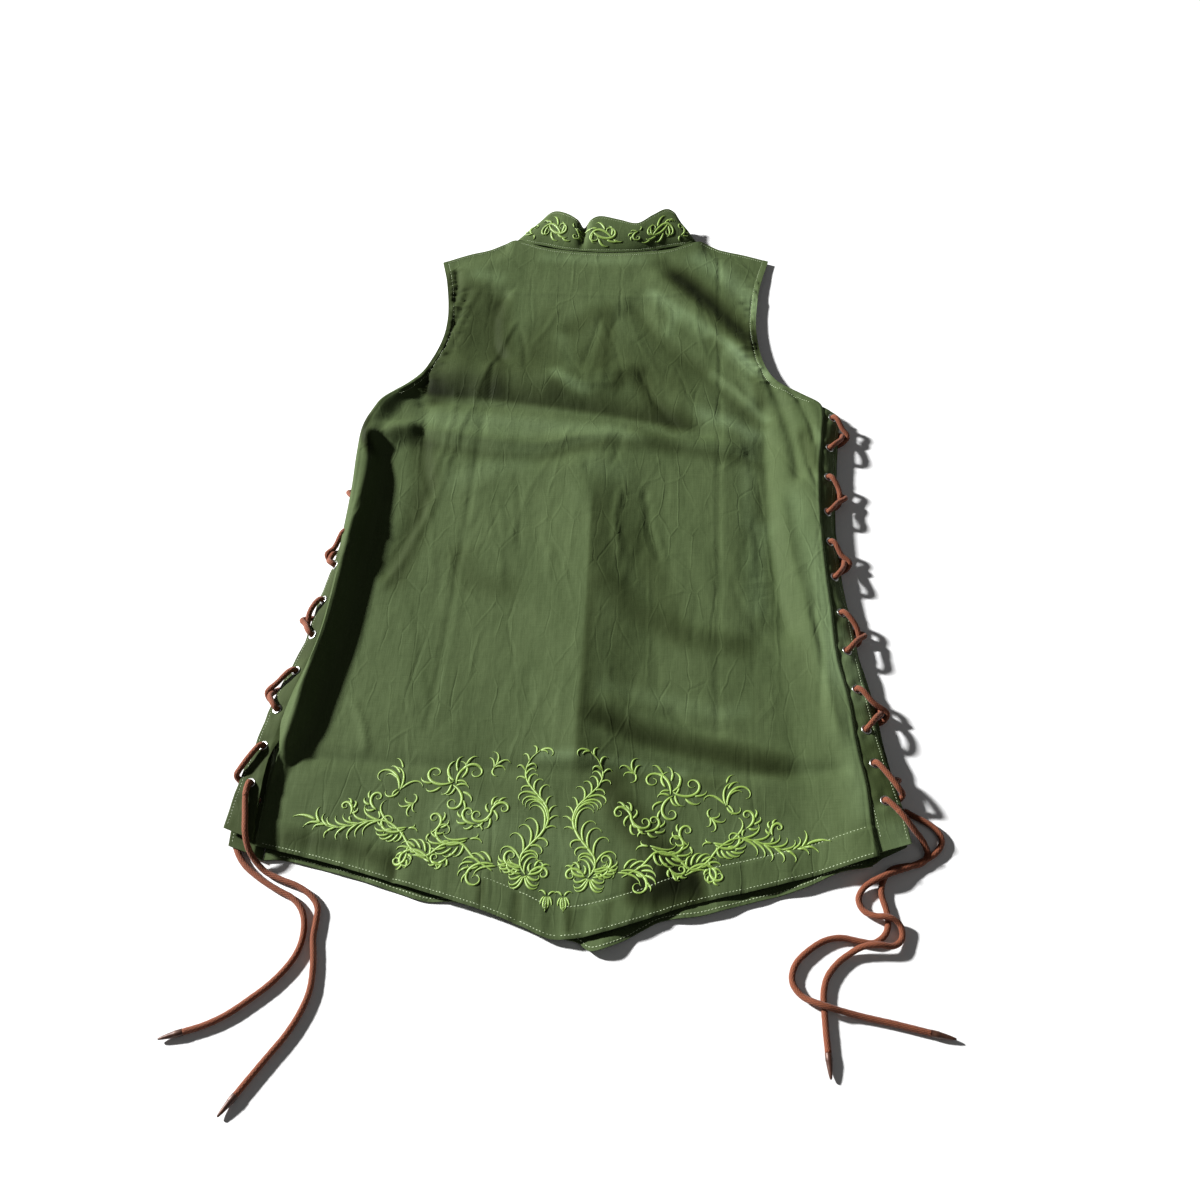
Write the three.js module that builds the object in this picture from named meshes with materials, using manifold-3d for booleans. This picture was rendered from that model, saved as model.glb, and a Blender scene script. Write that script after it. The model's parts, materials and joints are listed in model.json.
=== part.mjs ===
// A sleeveless tabard laid flat with its back up, laced down both sides. Millimetres, +Z up.
// Tables of places are measured from the point of the back hem: x to the wearer's right side as
// it lies, y from the hem towards the collar. The garment is then moved so that the middle of its
// extent is at the origin and its underside at z = 0.

import * as THREE from "three";
import Module from "manifold-3d";

const wasm = await Module();
wasm.setup();

// Driving dimensions

const MIDDLE_X = 3.1; // middle of the garment's width, from the hem point
const MIDDLE_Y = 444.4; // middle of the garment's length, from the hem point
const SEAM_GAP = 0.3; // clearance between pieces that are sewn or pressed together
const CLOTH = 1.6; // wall of a single panel
const PLACKET_CLOTH = 1.8; // wall of a placket, cloth doubled
const COLLAR_CLOTH = 2.0; // wall of the collar, cloth doubled with a stiffener
const BAND_DEPTH = 28; // depth of the faced hem band
const PLACKET_WIDTH = 31; // width of a front placket
const SEAM_OVERLAP = 6; // how far a back placket runs in under the edge of the back panel
const FRONT_LIFT = 5.9; // height at which the laces hold the underside of the front plackets
const CORD = 5.4; // diameter of the lace
const CORD_SIDES = 8; // sides of the lace's section
const EYELET_HOLE = 7.2; // hole through cloth and eyelet
const EYELET_RIM = 10.2; // outside diameter of an eyelet's rim
const EYELET_HEIGHT = 0.9; // height of the rim over the cloth
const EYELET_BEVEL = 0.6; // how far the rim rounds in at its top
const EYELET_SEAT = 0.6; // clearance under the rim, where the placket curves
const AGLET_LENGTH = 20; // tapered metal end of a lace
const AGLET_TIP = 1.6; // diameter at its point
const AGLET_BARREL = 6; // length of its straight part
const ROW_SHIFT = 6; // how far a front eyelet sits inboard of the back one over it
const LAST_SHIFT = 12; // how much lower the last front eyelet sits
const SLIT_LENGTH = 150; // centre-front slit below the collar
const SLIT_WIDTH = 3;
const SEAM_STEP = 2.5; // how far a back placket lies below the body's edge at the seam
const SEAM_LEAN = 0.16; // slope of its sewn-under strip
const DROP_POWER = 1.5; // how the back placket rounds down towards its edge
const FRONT_RAMP = 7; // width over which the front placket rises to its lifted height
const HOLE_LENGTH = 9; // length of the cylinder that cuts a hole
const PLACKET_SHARES = [0, 0.22, 0.5, 0.78, 1]; // steps across a back placket
const FRONT_SHARES = [0, 0.15, 0.3, 0.65, 1]; // steps across a front placket

// Clearances of the lace from the cloth it passes, to the cord's middle line

const EDGE_CLEAR = 3.9; // out from the outer placket edge where strands cross
const OUTER_EXTRA = CORD + 0.5; // further out for the strand that crosses on the outside
const OVER_CLOTH = 4.4; // over the back placket near its edge
const UNDER_CLOTH = CORD / 2 + 0.25; // height of a strand that lies on the surface
const TURN_HEIGHT = 4.9; // where a strand turns up round the front placket's edge
const CROSSING_HEIGHT = 9.8; // where the two strands cross
const LEAVE_BACK = { rise: 3.4, clear: 5.6 }; // out of a back eyelet, then past its rim
const LEAVE_FRONT = { rise: 3.1, clear: 3.85 };
const LEAVE_REACH = 4.4;
const BAR_DEPTH = 4.2; // of the straight run inside, below the middle of the cloth
const BAR_ENTRY = 3.2;
const LINK_DEPTH = 2.8; // of the run inside between the two first eyelets

const CLOTH_COLOUR = 0x61744a;
const CLOTH_DARK = 0x55663f;
const CORD_COLOUR = 0x8a5038;
const METAL_COLOUR = 0xc9ccd0;
const AGLET_COLOUR = 0x4a3128;

// Outline of the back panel: y and x of its left edge, from the hem up the seam and the armhole.
const LEFT_EDGE = [
  [64, -268], [118, -269], [157, -268], [209, -260], [238, -253], [271, -247], [315, -244],
  [365, -242], [444, -241], [498, -243], [548, -246], [566, -246], [579, -241], [590, -232],
  [605, -215], [627, -197], [647, -188], [673, -181], [697, -178], [730, -179], [780, -187],
  [815, -196],
];
// The same for its right edge.
const RIGHT_EDGE = [
  [79, 275], [103, 271], [141, 269], [180, 263], [231, 258], [274, 250], [330, 247], [377, 244],
  [439, 242], [498, 243], [547, 248], [585, 251], [598, 247], [613, 228], [631, 204], [654, 191],
  [684, 184], [716, 181], [749, 182], [791, 187], [838, 198],
];
// Hem of the back panel, x and y: a shallow point, a little lower on the left.
const HEM = [
  [-268, 64], [-208, 53], [-136, 36], [-65, 18], [-30, 6], [-4, -4], [22, -2], [60, 10],
  [113, 31], [173, 48], [275, 79],
];
// Shoulders and neck of the back panel, x and y.
const TOP = [
  [-196, 815], [-165, 831], [-142, 840], [-113, 856], [-74, 845], [-37, 840], [0, 839],
  [42, 843], [78, 850], [115, 866], [140, 855], [170, 847], [198, 838],
];
// Hem of the front panel, x and y: it shows below the back hem on the right and at far left.
const FRONT_HEM = [
  [-258, 53], [-240, 54], [-208, 48], [-172, 40], [-136, 30], [-112, 24], [-88, 25], [-60, 19],
  [-30, 9], [0, -1], [20, -5], [29, -12], [40, -10.5], [56, -3], [73, 8], [89, 17], [122, 23],
  [156, 34], [208, 51], [243, 67], [270, 73],
];
// Front neck, x and y: it dips deeper than the back one.
const FRONT_NECK = [
  [-110, 852], [-92, 822], [-64, 797], [-30, 784], [0, 781], [30, 785], [64, 800], [92, 827],
  [112, 862],
];

// Height of the back panel's upper face along its middle, and along both edges: y and z.
const MIDDLE_HEIGHT = [
  [-10, 6.4], [40, 7.4], [120, 9], [300, 10.5], [450, 11], [600, 10], [700, 8.6], [780, 8],
  [860, 7.4],
];
const LEFT_HEIGHT = [
  [60, 19.5], [100, 21.6], [180, 21.8], [240, 21.8], [315, 23], [400, 27.4], [500, 27.4], [560, 27],
  [590, 25], [617, 18], [652, 12], [697, 8.5], [750, 6.6], [815, 4.2],
];
const RIGHT_HEIGHT = [
  [75, 20.5], [110, 21.8], [180, 21.5], [280, 20.8], [440, 21], [548, 21], [590, 20], [613, 16],
  [654, 11], [700, 8.5], [760, 6.6], [838, 4.2],
];
// The long ridge inside the left edge: y and how far its crest stands over the cloth there.
const RIDGE = [
  [70, 0], [110, 1], [155, 4], [240, 7], [520, 7], [570, 5], [612, 1], [640, 0],
];
const RIDGE_CREST = 13; // crest's distance from the left edge
const RIDGE_FOOT = 42; // where its steep inner side ends
const RIGHT_FOOT = 62; // where the rise towards the right edge starts
const LEFT_ROLL = 8; // width of the flat strip along the left edge
const FOLD_MARGIN = 26; // distance from an edge within which folds fade out
const NECK_HALF = 112; // half width of the neck, where the shoulder seams begin
const SHOULDER_FADE = 15; // width over which the back sinks to the shoulder seam
const SHOULDER_HEIGHT = 3.6; // height of the back's upper face at the shoulder seam
const SEAM_INSET = 1.5; // how far the front panel's edge lies in from the back panel's
const ARMHOLE_FOOT = 600; // y above which the armholes run
const UNDERARM_LEVEL = 594; // y of the front panel's underarm corners
const UNDERARM_LEFT = -208;
const UNDERARM_RIGHT = 238;
const FRONT_CLOTH = 1.5; // wall of the front panel, pressed flat

// Soft folds of the back: both ends, half width, and rise (below zero for a trough).
const FOLDS = [
  { x1: -214, y1: 582, x2: 62, y2: 577, half: 14, rise: -2.2 },
  { x1: -129, y1: 520, x2: 117, y2: 538, half: 22, rise: 2.8 },
  { x1: -82, y1: 717, x2: -139, y2: 580, half: 10, rise: 1.8 },
  { x1: -139, y1: 580, x2: -167, y2: 449, half: 10, rise: 2.2 },
  { x1: -167, y1: 449, x2: -192, y2: 347, half: 9, rise: 1.6 },
  { x1: 192, y1: 636, x2: 218, y2: 558, half: 8, rise: -2.6 },
  { x1: 218, y1: 558, x2: 222, y2: 489, half: 7, rise: -2.2 },
  { x1: 231, y1: 534, x2: 244, y2: 487, half: 7, rise: -1.6 },
  { x1: 195, y1: 562, x2: 196, y2: 366, half: 14, rise: 1.4 },
  { x1: 103, y1: 797, x2: 139, y2: 743, half: 14, rise: -1.8 },
  { x1: 139, y1: 743, x2: 176, y2: 690, half: 12, rise: -1.8 },
  { x1: -178, y1: 795, x2: -172, y2: 745, half: 8, rise: -1.8 },
  { x1: -160, y1: 765, x2: -172, y2: 685, half: 9, rise: -1.8 },
  { x1: -236, y1: 140, x2: -229, y2: 98, half: 8, rise: -2.2 },
  { x1: -32, y1: 510, x2: 0, y2: 419, half: 32, rise: 1.8 },
  { x1: 0, y1: 419, x2: 14, y2: 230, half: 32, rise: 2 },
  { x1: -240, y1: 138, x2: 255, y2: 162, half: 12, rise: -1 },
  { x1: -67, y1: 757, x2: 57, y2: 764, half: 16, rise: -1.2 },
];
// Short creases of the hem band: x of each and its rise.
const BAND_CREASES = [
  [-146, -0.9], [-128, 0.8], [-66, 0.9], [-36, -0.7], [12, 0.8], [52, -0.8], [96, 0.7],
  [128, -0.9], [196, 0.7],
];
// Gathers of the armholes: rise and fall of each step, uneven as a hand would leave them.
const GATHERS = [1, 0.6, 1.3, 0.8, 0.5, 1.1, 0.7];
const GATHER_RISE = 1.3; // height of an ordinary gather
const GATHER_REACH = 22; // how far a gather runs in from the armhole edge
const GATHER_PULL = 0.6; // how far a gather draws the edge in, for each millimetre of its rise
const BAND_FADE = 8; // distance over which the band's creases fade at its seam
const CREASE_HALF = 9; // half width of such a crease

// Steps of the back panel's upper face: shares of its length, and distances in from an edge.
const BAND_ROWS = [0, 0.012, 0.036, 0.052];
const BODY_ROWS = 17;
const BODY_START = 0.085;
const ARMHOLE_ROWS = 33;
const ARMHOLE_START = 0.695;
const COLUMNS = [0, 6.5, 14, 22, 31, 42, 58, 82, 122, 190, 268];
const EDGE_COLUMNS = 82; // columns up to here keep their distance from the edge

// Side of the garment: outer edges of the two plackets, drop of the back one over its width,
// and the y of its twelve eyelets, all from the armhole down to the hem.
const RIGHT_SIDE = {
  sign: 1,
  back: [
    [79, 306], [120, 300], [145, 294], [174, 287], [209, 281], [246, 275], [283, 270],
    [323, 266], [358, 261], [400, 257], [444, 256], [498, 261], [548, 265], [590, 272],
  ],
  front: [
    [79, 302], [110, 301], [145, 297.5], [174, 291], [209, 286], [246, 280], [283, 272],
    [323, 267], [358, 262], [400, 259], [444, 258], [498, 262], [548, 266], [590, 270],
  ],
  drop: [[79, 3], [145, 3], [209, 5], [283, 7], [358, 8.5], [444, 9], [548, 8.5], [590, 8]],
  top: [597, 584],
  bottom: [80, 93],
  frontBottom: [77, 93],
  eyelets: [580, 537, 497, 451, 413, 370, 328, 285, 243, 201, 167, 131],
};
const LEFT_SIDE = {
  sign: -1,
  back: [
    [66, 297], [98, 294], [132, 290], [157, 285], [180, 282], [209, 278], [238, 270],
    [271, 262], [315, 257], [365, 250], [400, 248], [444, 248], [498, 249], [548, 250],
    [590, 253],
  ],
  front: [
    [55, 291], [98, 291], [132, 287], [157, 284], [180, 280], [209, 275], [238, 267],
    [271, 259], [315, 254], [365, 243], [400, 240], [444, 238], [590, 240],
  ],
  drop: [
    [66, 3], [157, 4], [209, 7], [271, 9], [315, 10], [365, 13], [400, 15], [548, 15],
    [590, 13],
  ],
  top: [579, 573],
  bottom: [66, 76],
  frontBottom: [53, 63],
  eyelets: [553, 513, 474, 434, 395, 354, 315, 275, 235, 193, 155, 118],
};

// Collar, seen from the back: x and y of its base, then x, y and z of its top edge.
const COLLAR_BACK = [
  { bx: -106, by: 856.6, tx: -80, ty: 883, tz: 17 },
  { bx: -92, by: 851.5, tx: -71, ty: 888, tz: 24 },
  { bx: -74, by: 848.2, tx: -61, ty: 890, tz: 26 },
  { bx: -55, by: 843.6, tx: -47, ty: 885, tz: 26 },
  { bx: -39, by: 841.8, tx: -35, ty: 878, tz: 23 },
  { bx: -29, by: 841.6, tx: -28, ty: 876, tz: 13 },
  { bx: -20, by: 841.2, tx: -20, ty: 880, tz: 23 },
  { bx: -6, by: 840.6, tx: -8, ty: 884, tz: 26 },
  { bx: 16, by: 842, tx: 15, ty: 880, tz: 25 },
  { bx: 40, by: 844.6, tx: 37, ty: 876, tz: 24 },
  { bx: 60, by: 849, tx: 55, ty: 889, tz: 26 },
  { bx: 78, by: 854.2, tx: 71, ty: 900, tz: 27 },
  { bx: 97, by: 859.5, tx: 82, ty: 898, tz: 24 },
  { bx: 107, by: 865.8, tx: 88, ty: 893, tz: 17 },
];
const COLLAR_BASE_HEIGHT = 7.4; // of the back half's base, upper face
const COLLAR_UNDER_HEIGHT = 0.3; // of the front half's lower face, which lies on the surface
const COLLAR_UNDER_RISE = 44; // height of the front half over its base, laid flat
const COLLAR_FRONT_SHARES = [0.02, 0.3, 0.58, 0.78, 0.9]; // sections of the front half, from the slit
const COLLAR_NARROWING = 0.86; // its top edge's length against its base
const COLLAR_SEAM = 2; // distance of its base from the front neck
const COLLAR_FOLD = 3.5; // how far it rounds out where front and back halves meet

// Free ends of the laces: x, y and z of hand-chosen places along each.
const FREE_RIGHT_BACK = [
  [293, 121, 22.6], [299, 114, 21.6], [306, 105, 16], [313, 98, 8], [316, 91, 3.2],
  [308, 87, 3], [291, 82, 3], [281, 70, 3], [277, 56, 3], [279, 42, 3], [281, 28, 3],
  [278, 16, 3], [268, 8, 3], [257, 8.5, 3], [241, 11, 3], [227, 8, 3], [212, -2, 3],
  [201, -14, 3], [198, -28, 3], [206, -40, 4.6], [222, -47, 8.9], [240, -50.5, 5],
  [260, -54, 3], [278, -57, 3], [296, -60.5, 3], [309, -63, 3],
];
const FREE_RIGHT_FRONT = [
  [304, 128, 3], [312, 123.5, 3], [321, 119, 3], [330, 112, 3], [334, 102, 3],
  [328, 91, 3], [313, 81, 3], [296, 73, 5.6], [279, 65, 9], [263, 56, 4.6], [257, 45, 3],
  [260, 35, 3.4], [270, 29, 6.6], [281, 25, 9], [287, 18, 5.4], [279, 12.5, 7.8],
  [268, 11, 9], [257, 4, 7.4], [246, -3, 3.4], [236, -11, 3], [227, -23, 3], [223.5, -36, 3],
  [223.5, -50, 3], [224, -66, 3], [225, -83, 3],
];
const FREE_LEFT_BACK = [
  [-281, 107, 22.8], [-279.5, 97, 22.4], [-277, 85, 22], [-274.5, 72, 21.5], [-271, 60, 16.5],
  [-264, 50, 8], [-254, 42, 3.4], [-239, 36, 3], [-225, 31.5, 3], [-212, 24, 3], [-204, 14, 3],
  [-203, 2, 3], [-203, -12, 3], [-200, -27, 3], [-198, -43, 3], [-198, -57, 3],
  [-202, -73, 3], [-210, -91, 3], [-223, -111, 3], [-234, -128, 3], [-241, -139, 3],
];
const FREE_LEFT_FRONT = [
  [-288, 92, 3], [-290, 79, 3], [-285, 63, 3], [-275, 48.5, 3], [-258, 36, 3],
  [-241, 27, 3], [-226, 20, 3], [-216, 9, 3], [-212, -6, 3], [-213, -22, 3],
  [-219, -36, 3], [-231, -52, 3], [-246, -66, 3], [-262, -79, 3], [-278, -88, 3],
  [-294, -94, 3],
];

// Lookups and curves

/** Value at x of a table of [x, value] rows, on a smooth curve through them. */
function along(table, x) {
  const last = table.length - 1;
  if (x <= table[0][0]) return table[0][1];
  if (x >= table[last][0]) return table[last][1];
  const i = table.findIndex((row) => row[0] > x) - 1;
  const slope = (k) => {
    const a = table[Math.max(0, k - 1)];
    const b = table[Math.min(last, k + 1)];
    return (b[1] - a[1]) / (b[0] - a[0]);
  };
  const [x0, v0] = table[i];
  const [x1, v1] = table[i + 1];
  const h = x1 - x0;
  const t = (x - x0) / h;
  const rest = 1 - t;
  return (
    v0 * (1 + 2 * t) * rest * rest +
    slope(i) * h * t * rest * rest +
    v1 * t * t * (3 - 2 * t) -
    slope(i + 1) * h * t * t * rest
  );
}

/** 0 below a, 1 above b, and a smooth rise between. */
function ease(a, b, x) {
  const t = Math.min(1, Math.max(0, (x - a) / (b - a)));
  return t * t * (3 - 2 * t);
}

/** Shape of one fold at a place: 1 on its line, 0 beyond its half width and its ends. */
function foldShape(fold, x, y) {
  const dx = fold.x2 - fold.x1;
  const dy = fold.y2 - fold.y1;
  const length = Math.hypot(dx, dy);
  const s = ((x - fold.x1) * dx + (y - fold.y1) * dy) / length;
  const off = Math.abs((x - fold.x1) * dy - (y - fold.y1) * dx) / length;
  const ends = ease(-fold.half, fold.half, s) * (1 - ease(length - fold.half, length + fold.half, s));
  return (1 - ease(0, fold.half, off)) * ends;
}

// Back panel

/** Height of the back panel's upper face at a place. */
function backHeight(x, y) {
  const fromLeft = x - along(LEFT_EDGE, y);
  const fromRight = along(RIGHT_EDGE, y) - x;
  const middle = along(MIDDLE_HEIGHT, y);
  const left = (along(LEFT_HEIGHT, y) - middle) * (1 - ease(LEFT_ROLL, RIDGE_FOOT, fromLeft));
  const right = (along(RIGHT_HEIGHT, y) - middle) * (1 - ease(0, RIGHT_FOOT, fromRight));
  const crest = ease(0, RIDGE_CREST, fromLeft) * (1 - ease(RIDGE_CREST, RIDGE_FOOT, fromLeft));
  let z = middle + left + right + along(RIDGE, y) * crest;
  const inside = ease(0, FOLD_MARGIN, Math.min(fromLeft, fromRight));
  for (const fold of FOLDS) z += fold.rise * foldShape(fold, x, y) * inside;
  return z;
}

/** Extra height of the hem band's short creases. */
function bandHeight(x, fromHem) {
  const inBand = 1 - ease(BAND_DEPTH - BAND_FADE, BAND_DEPTH + BAND_FADE, fromHem);
  const crease = ([at, rise]) => rise * (1 - ease(0, CREASE_HALF, Math.abs(x - at)));
  return BAND_CREASES.reduce((z, row) => z + crease(row), 0) * inBand;
}

/** Places across the back panel: near an edge at a fixed distance from it, spread between. */
function acrossPlaces(width) {
  const full = 2 * COLUMNS[COLUMNS.length - 1];
  const stretch = (width - 2 * EDGE_COLUMNS) / (full - 2 * EDGE_COLUMNS);
  const mirrored = COLUMNS.slice(0, -1).reverse().map((place) => full - place);
  return [...COLUMNS, ...mirrored].map((place) => {
    if (place <= EDGE_COLUMNS) return place;
    if (place > full - EDGE_COLUMNS) return width - (full - place);
    return EDGE_COLUMNS + (place - EDGE_COLUMNS) * stretch;
  });
}

/** Rise and inward pull of the gathers in row r, at a distance in from the armhole edge. */
function gatherAt(r, share, edge, atRight) {
  const row = r - BAND_ROWS.length - BODY_ROWS;
  if (row <= 0 || share >= 0.985) return 0;
  const size = GATHERS[(r * 3 + (atRight ? 2 : 0)) % GATHERS.length];
  const strength = ease(0, 3, row) * (1 - 0.55 * ease(0.86, 0.98, share));
  return (r % 2 ? 1 : -1) * size * strength * (1 - ease(0, GATHER_REACH, edge));
}

/** Rows of points of the back panel's upper face, from the hem up to the shoulders and neck. */
function backRows() {
  const bodyStep = (ARMHOLE_START - BODY_START) / BODY_ROWS;
  const armholeStep = (1 - ARMHOLE_START) / (ARMHOLE_ROWS - 1);
  const shares = [
    ...BAND_ROWS,
    ...Array.from({ length: BODY_ROWS }, (_, i) => BODY_START + i * bodyStep),
    ...Array.from({ length: ARMHOLE_ROWS }, (_, i) => ARMHOLE_START + i * armholeStep),
  ];
  const [y0, y1] = [LEFT_EDGE, RIGHT_EDGE].map((edge) => edge[0][0]);
  const [y2, y3] = [LEFT_EDGE, RIGHT_EDGE].map((edge) => edge[edge.length - 1][0]);
  return shares.map((v, r) => {
    const leftY = y0 + (y2 - y0) * v;
    const rightY = y1 + (y3 - y1) * v;
    const leftX = along(LEFT_EDGE, leftY);
    const width = along(RIGHT_EDGE, rightY) - leftX;
    return acrossPlaces(width).map((across) => {
      const u = across / width;
      const x = leftX + across;
      const hemX = HEM[0][0] + (HEM[HEM.length - 1][0] - HEM[0][0]) * u;
      const topX = TOP[0][0] + (TOP[TOP.length - 1][0] - TOP[0][0]) * u;
      const hemDip = along(HEM, hemX) - (y0 + (y1 - y0) * u);
      const topRise = along(TOP, topX) - (y2 + (y3 - y2) * u);
      const level = leftY + (rightY - leftY) * u;
      const y = level + hemDip * (1 - ease(0.03, 0.6, v)) + topRise * ease(0.72, 1, v);
      const raised = backHeight(x, y) + bandHeight(x, v * (y2 - y0));
      const shoulder = ease(NECK_HALF, NECK_HALF + SHOULDER_FADE, Math.abs(x - 1)) * ease(0.955, 1, v);
      const edge = Math.min(across, width - across);
      const wave = gatherAt(r, v, edge, u > 0.5) * (v === 1 ? 0 : 1);
      const pull = edge === 0 ? wave * GATHER_PULL * (u > 0.5 ? -1 : 1) : 0;
      const z = raised + (SHOULDER_HEIGHT - raised) * shoulder + wave * GATHER_RISE;
      return new THREE.Vector3(x + pull, y, z);
    });
  });
}

// Walls

/** Upward normals of a grid of points, from its neighbours. */
function normalsOf(rows) {
  return rows.map((row, r) =>
    row.map((_, c) => {
      const below = rows[Math.max(0, r - 1)][c];
      const above = rows[Math.min(rows.length - 1, r + 1)][c];
      const before = row[Math.max(0, c - 1)];
      const after = row[Math.min(row.length - 1, c + 1)];
      const across = after.clone().sub(before);
      return across.cross(above.clone().sub(below)).normalize();
    }),
  );
}

/** Closed wall of the given thickness below a grid of points (rows up, columns to the right). */
function wallGeometry(rows, thickness) {
  const count = rows[0].length;
  const normals = normalsOf(rows);
  const upper = rows.flat();
  const lower = rows.flatMap((row, r) =>
    row.map((p, c) => p.clone().addScaledVector(normals[r][c], -thickness)),
  );
  const points = [...upper, ...lower];
  const at = (r, c, side) => side * upper.length + r * count + c;
  const faces = [];
  const quad = (a, b, c, d) => faces.push(a, b, c, a, c, d);
  for (let r = 0; r + 1 < rows.length; r += 1) {
    for (let c = 0; c + 1 < count; c += 1) {
      quad(at(r, c, 0), at(r, c + 1, 0), at(r + 1, c + 1, 0), at(r + 1, c, 0));
      quad(at(r, c, 1), at(r + 1, c, 1), at(r + 1, c + 1, 1), at(r, c + 1, 1));
    }
    quad(at(r, 0, 0), at(r + 1, 0, 0), at(r + 1, 0, 1), at(r, 0, 1));
    quad(at(r, count - 1, 1), at(r + 1, count - 1, 1), at(r + 1, count - 1, 0), at(r, count - 1, 0));
  }
  for (let c = 0; c + 1 < count; c += 1) {
    const top = rows.length - 1;
    quad(at(0, c, 1), at(0, c + 1, 1), at(0, c + 1, 0), at(0, c, 0));
    quad(at(top, c, 0), at(top, c + 1, 0), at(top, c + 1, 1), at(top, c, 1));
  }
  const geometry = new THREE.BufferGeometry();
  const values = points.flatMap((p) => [p.x - MIDDLE_X, p.y - MIDDLE_Y, p.z]);
  geometry.setAttribute("position", new THREE.Float32BufferAttribute(values, 3));
  geometry.setIndex(faces);
  return geometry;
}

/** Manifold solid of an indexed geometry whose points are already merged. */
function solidOf(geometry) {
  return new wasm.Manifold(
    new wasm.Mesh({
      numProp: 3,
      vertProperties: new Float32Array(geometry.attributes.position.array),
      triVerts: new Uint32Array(geometry.index.array),
    }),
  );
}

/** Indexed geometry of a manifold solid. */
function geometryOf(solid) {
  const mesh = solid.getMesh();
  const geometry = new THREE.BufferGeometry();
  geometry.setAttribute("position", new THREE.BufferAttribute(new Float32Array(mesh.vertProperties), 3));
  geometry.setIndex(new THREE.BufferAttribute(new Uint32Array(mesh.triVerts), 1));
  return geometry;
}

const garment = new THREE.Group();

/** Adds a named mesh with its own finish to the garment. */
function addPiece(name, geometry, colour, roughness, metalness) {
  const finish = new THREE.MeshStandardMaterial({ color: colour, roughness, metalness });
  const mesh = new THREE.Mesh(geometry, finish);
  mesh.name = name;
  garment.add(mesh);
  return mesh;
}

// Plackets

/** Places on one side of the garment: seam, placket edges, heights and eyelets. */
class Side {
  constructor(table, edge, height) {
    this.table = table;
    this.sign = table.sign;
    this.edge = edge;
    this.height = height;
  }

  /** Distance of the back panel's edge from the centre line. */
  seam(y) {
    return along(this.edge, y) * this.sign;
  }

  /** Upper face of the back placket at a distance out from the seam. */
  backTop(x, y) {
    const out = x - this.seam(y);
    const seamHeight = along(this.height, y) - SEAM_STEP;
    if (out < 0) return seamHeight + out * SEAM_LEAN;
    const width = along(this.table.back, y) - this.seam(y);
    return seamHeight - along(this.table.drop, y) * (out / width) ** DROP_POWER;
  }

  /** Upper face of the front placket. */
  frontTop(x, y) {
    const out = x - (along(this.table.front, y) - PLACKET_WIDTH);
    const lifted = FRONT_LIFT + PLACKET_CLOTH;
    const low = PLACKET_CLOTH + SEAM_GAP;
    return low + (lifted - low) * ease(0, FRONT_RAMP, out);
  }

  /** Point and outward normal of back eyelet i, at the middle of the cloth. */
  backEyelet(i) {
    const y = this.table.eyelets[i];
    const x = (this.seam(y) + along(this.table.back, y)) / 2;
    const step = 0.5;
    const rise = this.backTop(x + step, y) - this.backTop(x - step, y);
    const fall = this.backTop(x, y + step) - this.backTop(x, y - step);
    const normal = new THREE.Vector3(-rise * this.sign, -fall, 2 * step).normalize();
    const point = new THREE.Vector3(x * this.sign, y, this.backTop(x, y));
    return { point: point.addScaledVector(normal, -PLACKET_CLOTH / 2), normal };
  }

  /** Point and outward (downward) normal of front eyelet i. */
  frontEyelet(i) {
    const over = this.backEyelet(i);
    const lean = Math.abs(over.normal.x);
    const x = over.point.x * this.sign - ROW_SHIFT - EDGE_CLEAR * lean;
    const y = this.table.eyelets[i] - (i === this.table.eyelets.length - 1 ? LAST_SHIFT : 0);
    const z = FRONT_LIFT + PLACKET_CLOTH / 2;
    return { point: new THREE.Vector3(x * this.sign, y, z), normal: new THREE.Vector3(0, 0, -1) };
  }

  /** Rows of points of a placket's upper face; steps run out from its inner edge. */
  rows(steps, inner, outer, top, ends) {
    const levels = [...this.table.eyelets].reverse().map((y) => [y, y]);
    return [ends[0], ...levels, ends[1]].map(([innerY, outerY]) => {
      const points = steps.map((share) => {
        const level = innerY + (outerY - innerY) * share;
        const x = inner(level) + (outer(level) - inner(level)) * share;
        return new THREE.Vector3(x * this.sign, level, top(x, level));
      });
      return this.sign > 0 ? points : points.reverse();
    });
  }

  /** Cuts the twelve lace holes through a placket. */
  pierce(geometry, eyelets) {
    const holes = eyelets.map(({ point, normal }) => {
      const hole = new THREE.CylinderGeometry(EYELET_HOLE / 2, EYELET_HOLE / 2, HOLE_LENGTH, 8);
      const turn = new THREE.Quaternion().setFromUnitVectors(new THREE.Vector3(0, 1, 0), normal);
      hole.applyQuaternion(turn);
      hole.translate(point.x - MIDDLE_X, point.y - MIDDLE_Y, point.z);
      return solidOf(closed(hole));
    });
    return geometryOf(holes.reduce((rest, hole) => rest.subtract(hole), solidOf(geometry)));
  }

  /** The back placket, sewn on under the edge of the back panel. */
  backPlacket() {
    const rows = this.rows(
      PLACKET_SHARES,
      (y) => this.seam(y) - SEAM_OVERLAP,
      (y) => along(this.table.back, y),
      (x, y) => this.backTop(x, y),
      [this.table.bottom, this.table.top],
    );
    const all = this.table.eyelets.map((_, i) => this.backEyelet(i));
    return this.pierce(wallGeometry(rows, PLACKET_CLOTH), all);
  }

  /** The front placket, held up off the surface by the lace under it. */
  frontPlacket() {
    const rows = this.rows(
      FRONT_SHARES,
      (y) => along(this.table.front, y) - PLACKET_WIDTH,
      (y) => along(this.table.front, y),
      (x, y) => this.frontTop(x, y),
      [this.table.frontBottom, this.table.top],
    );
    const all = this.table.eyelets.map((_, i) => this.frontEyelet(i));
    return this.pierce(wallGeometry(rows, PLACKET_CLOTH), all);
  }
}

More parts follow.
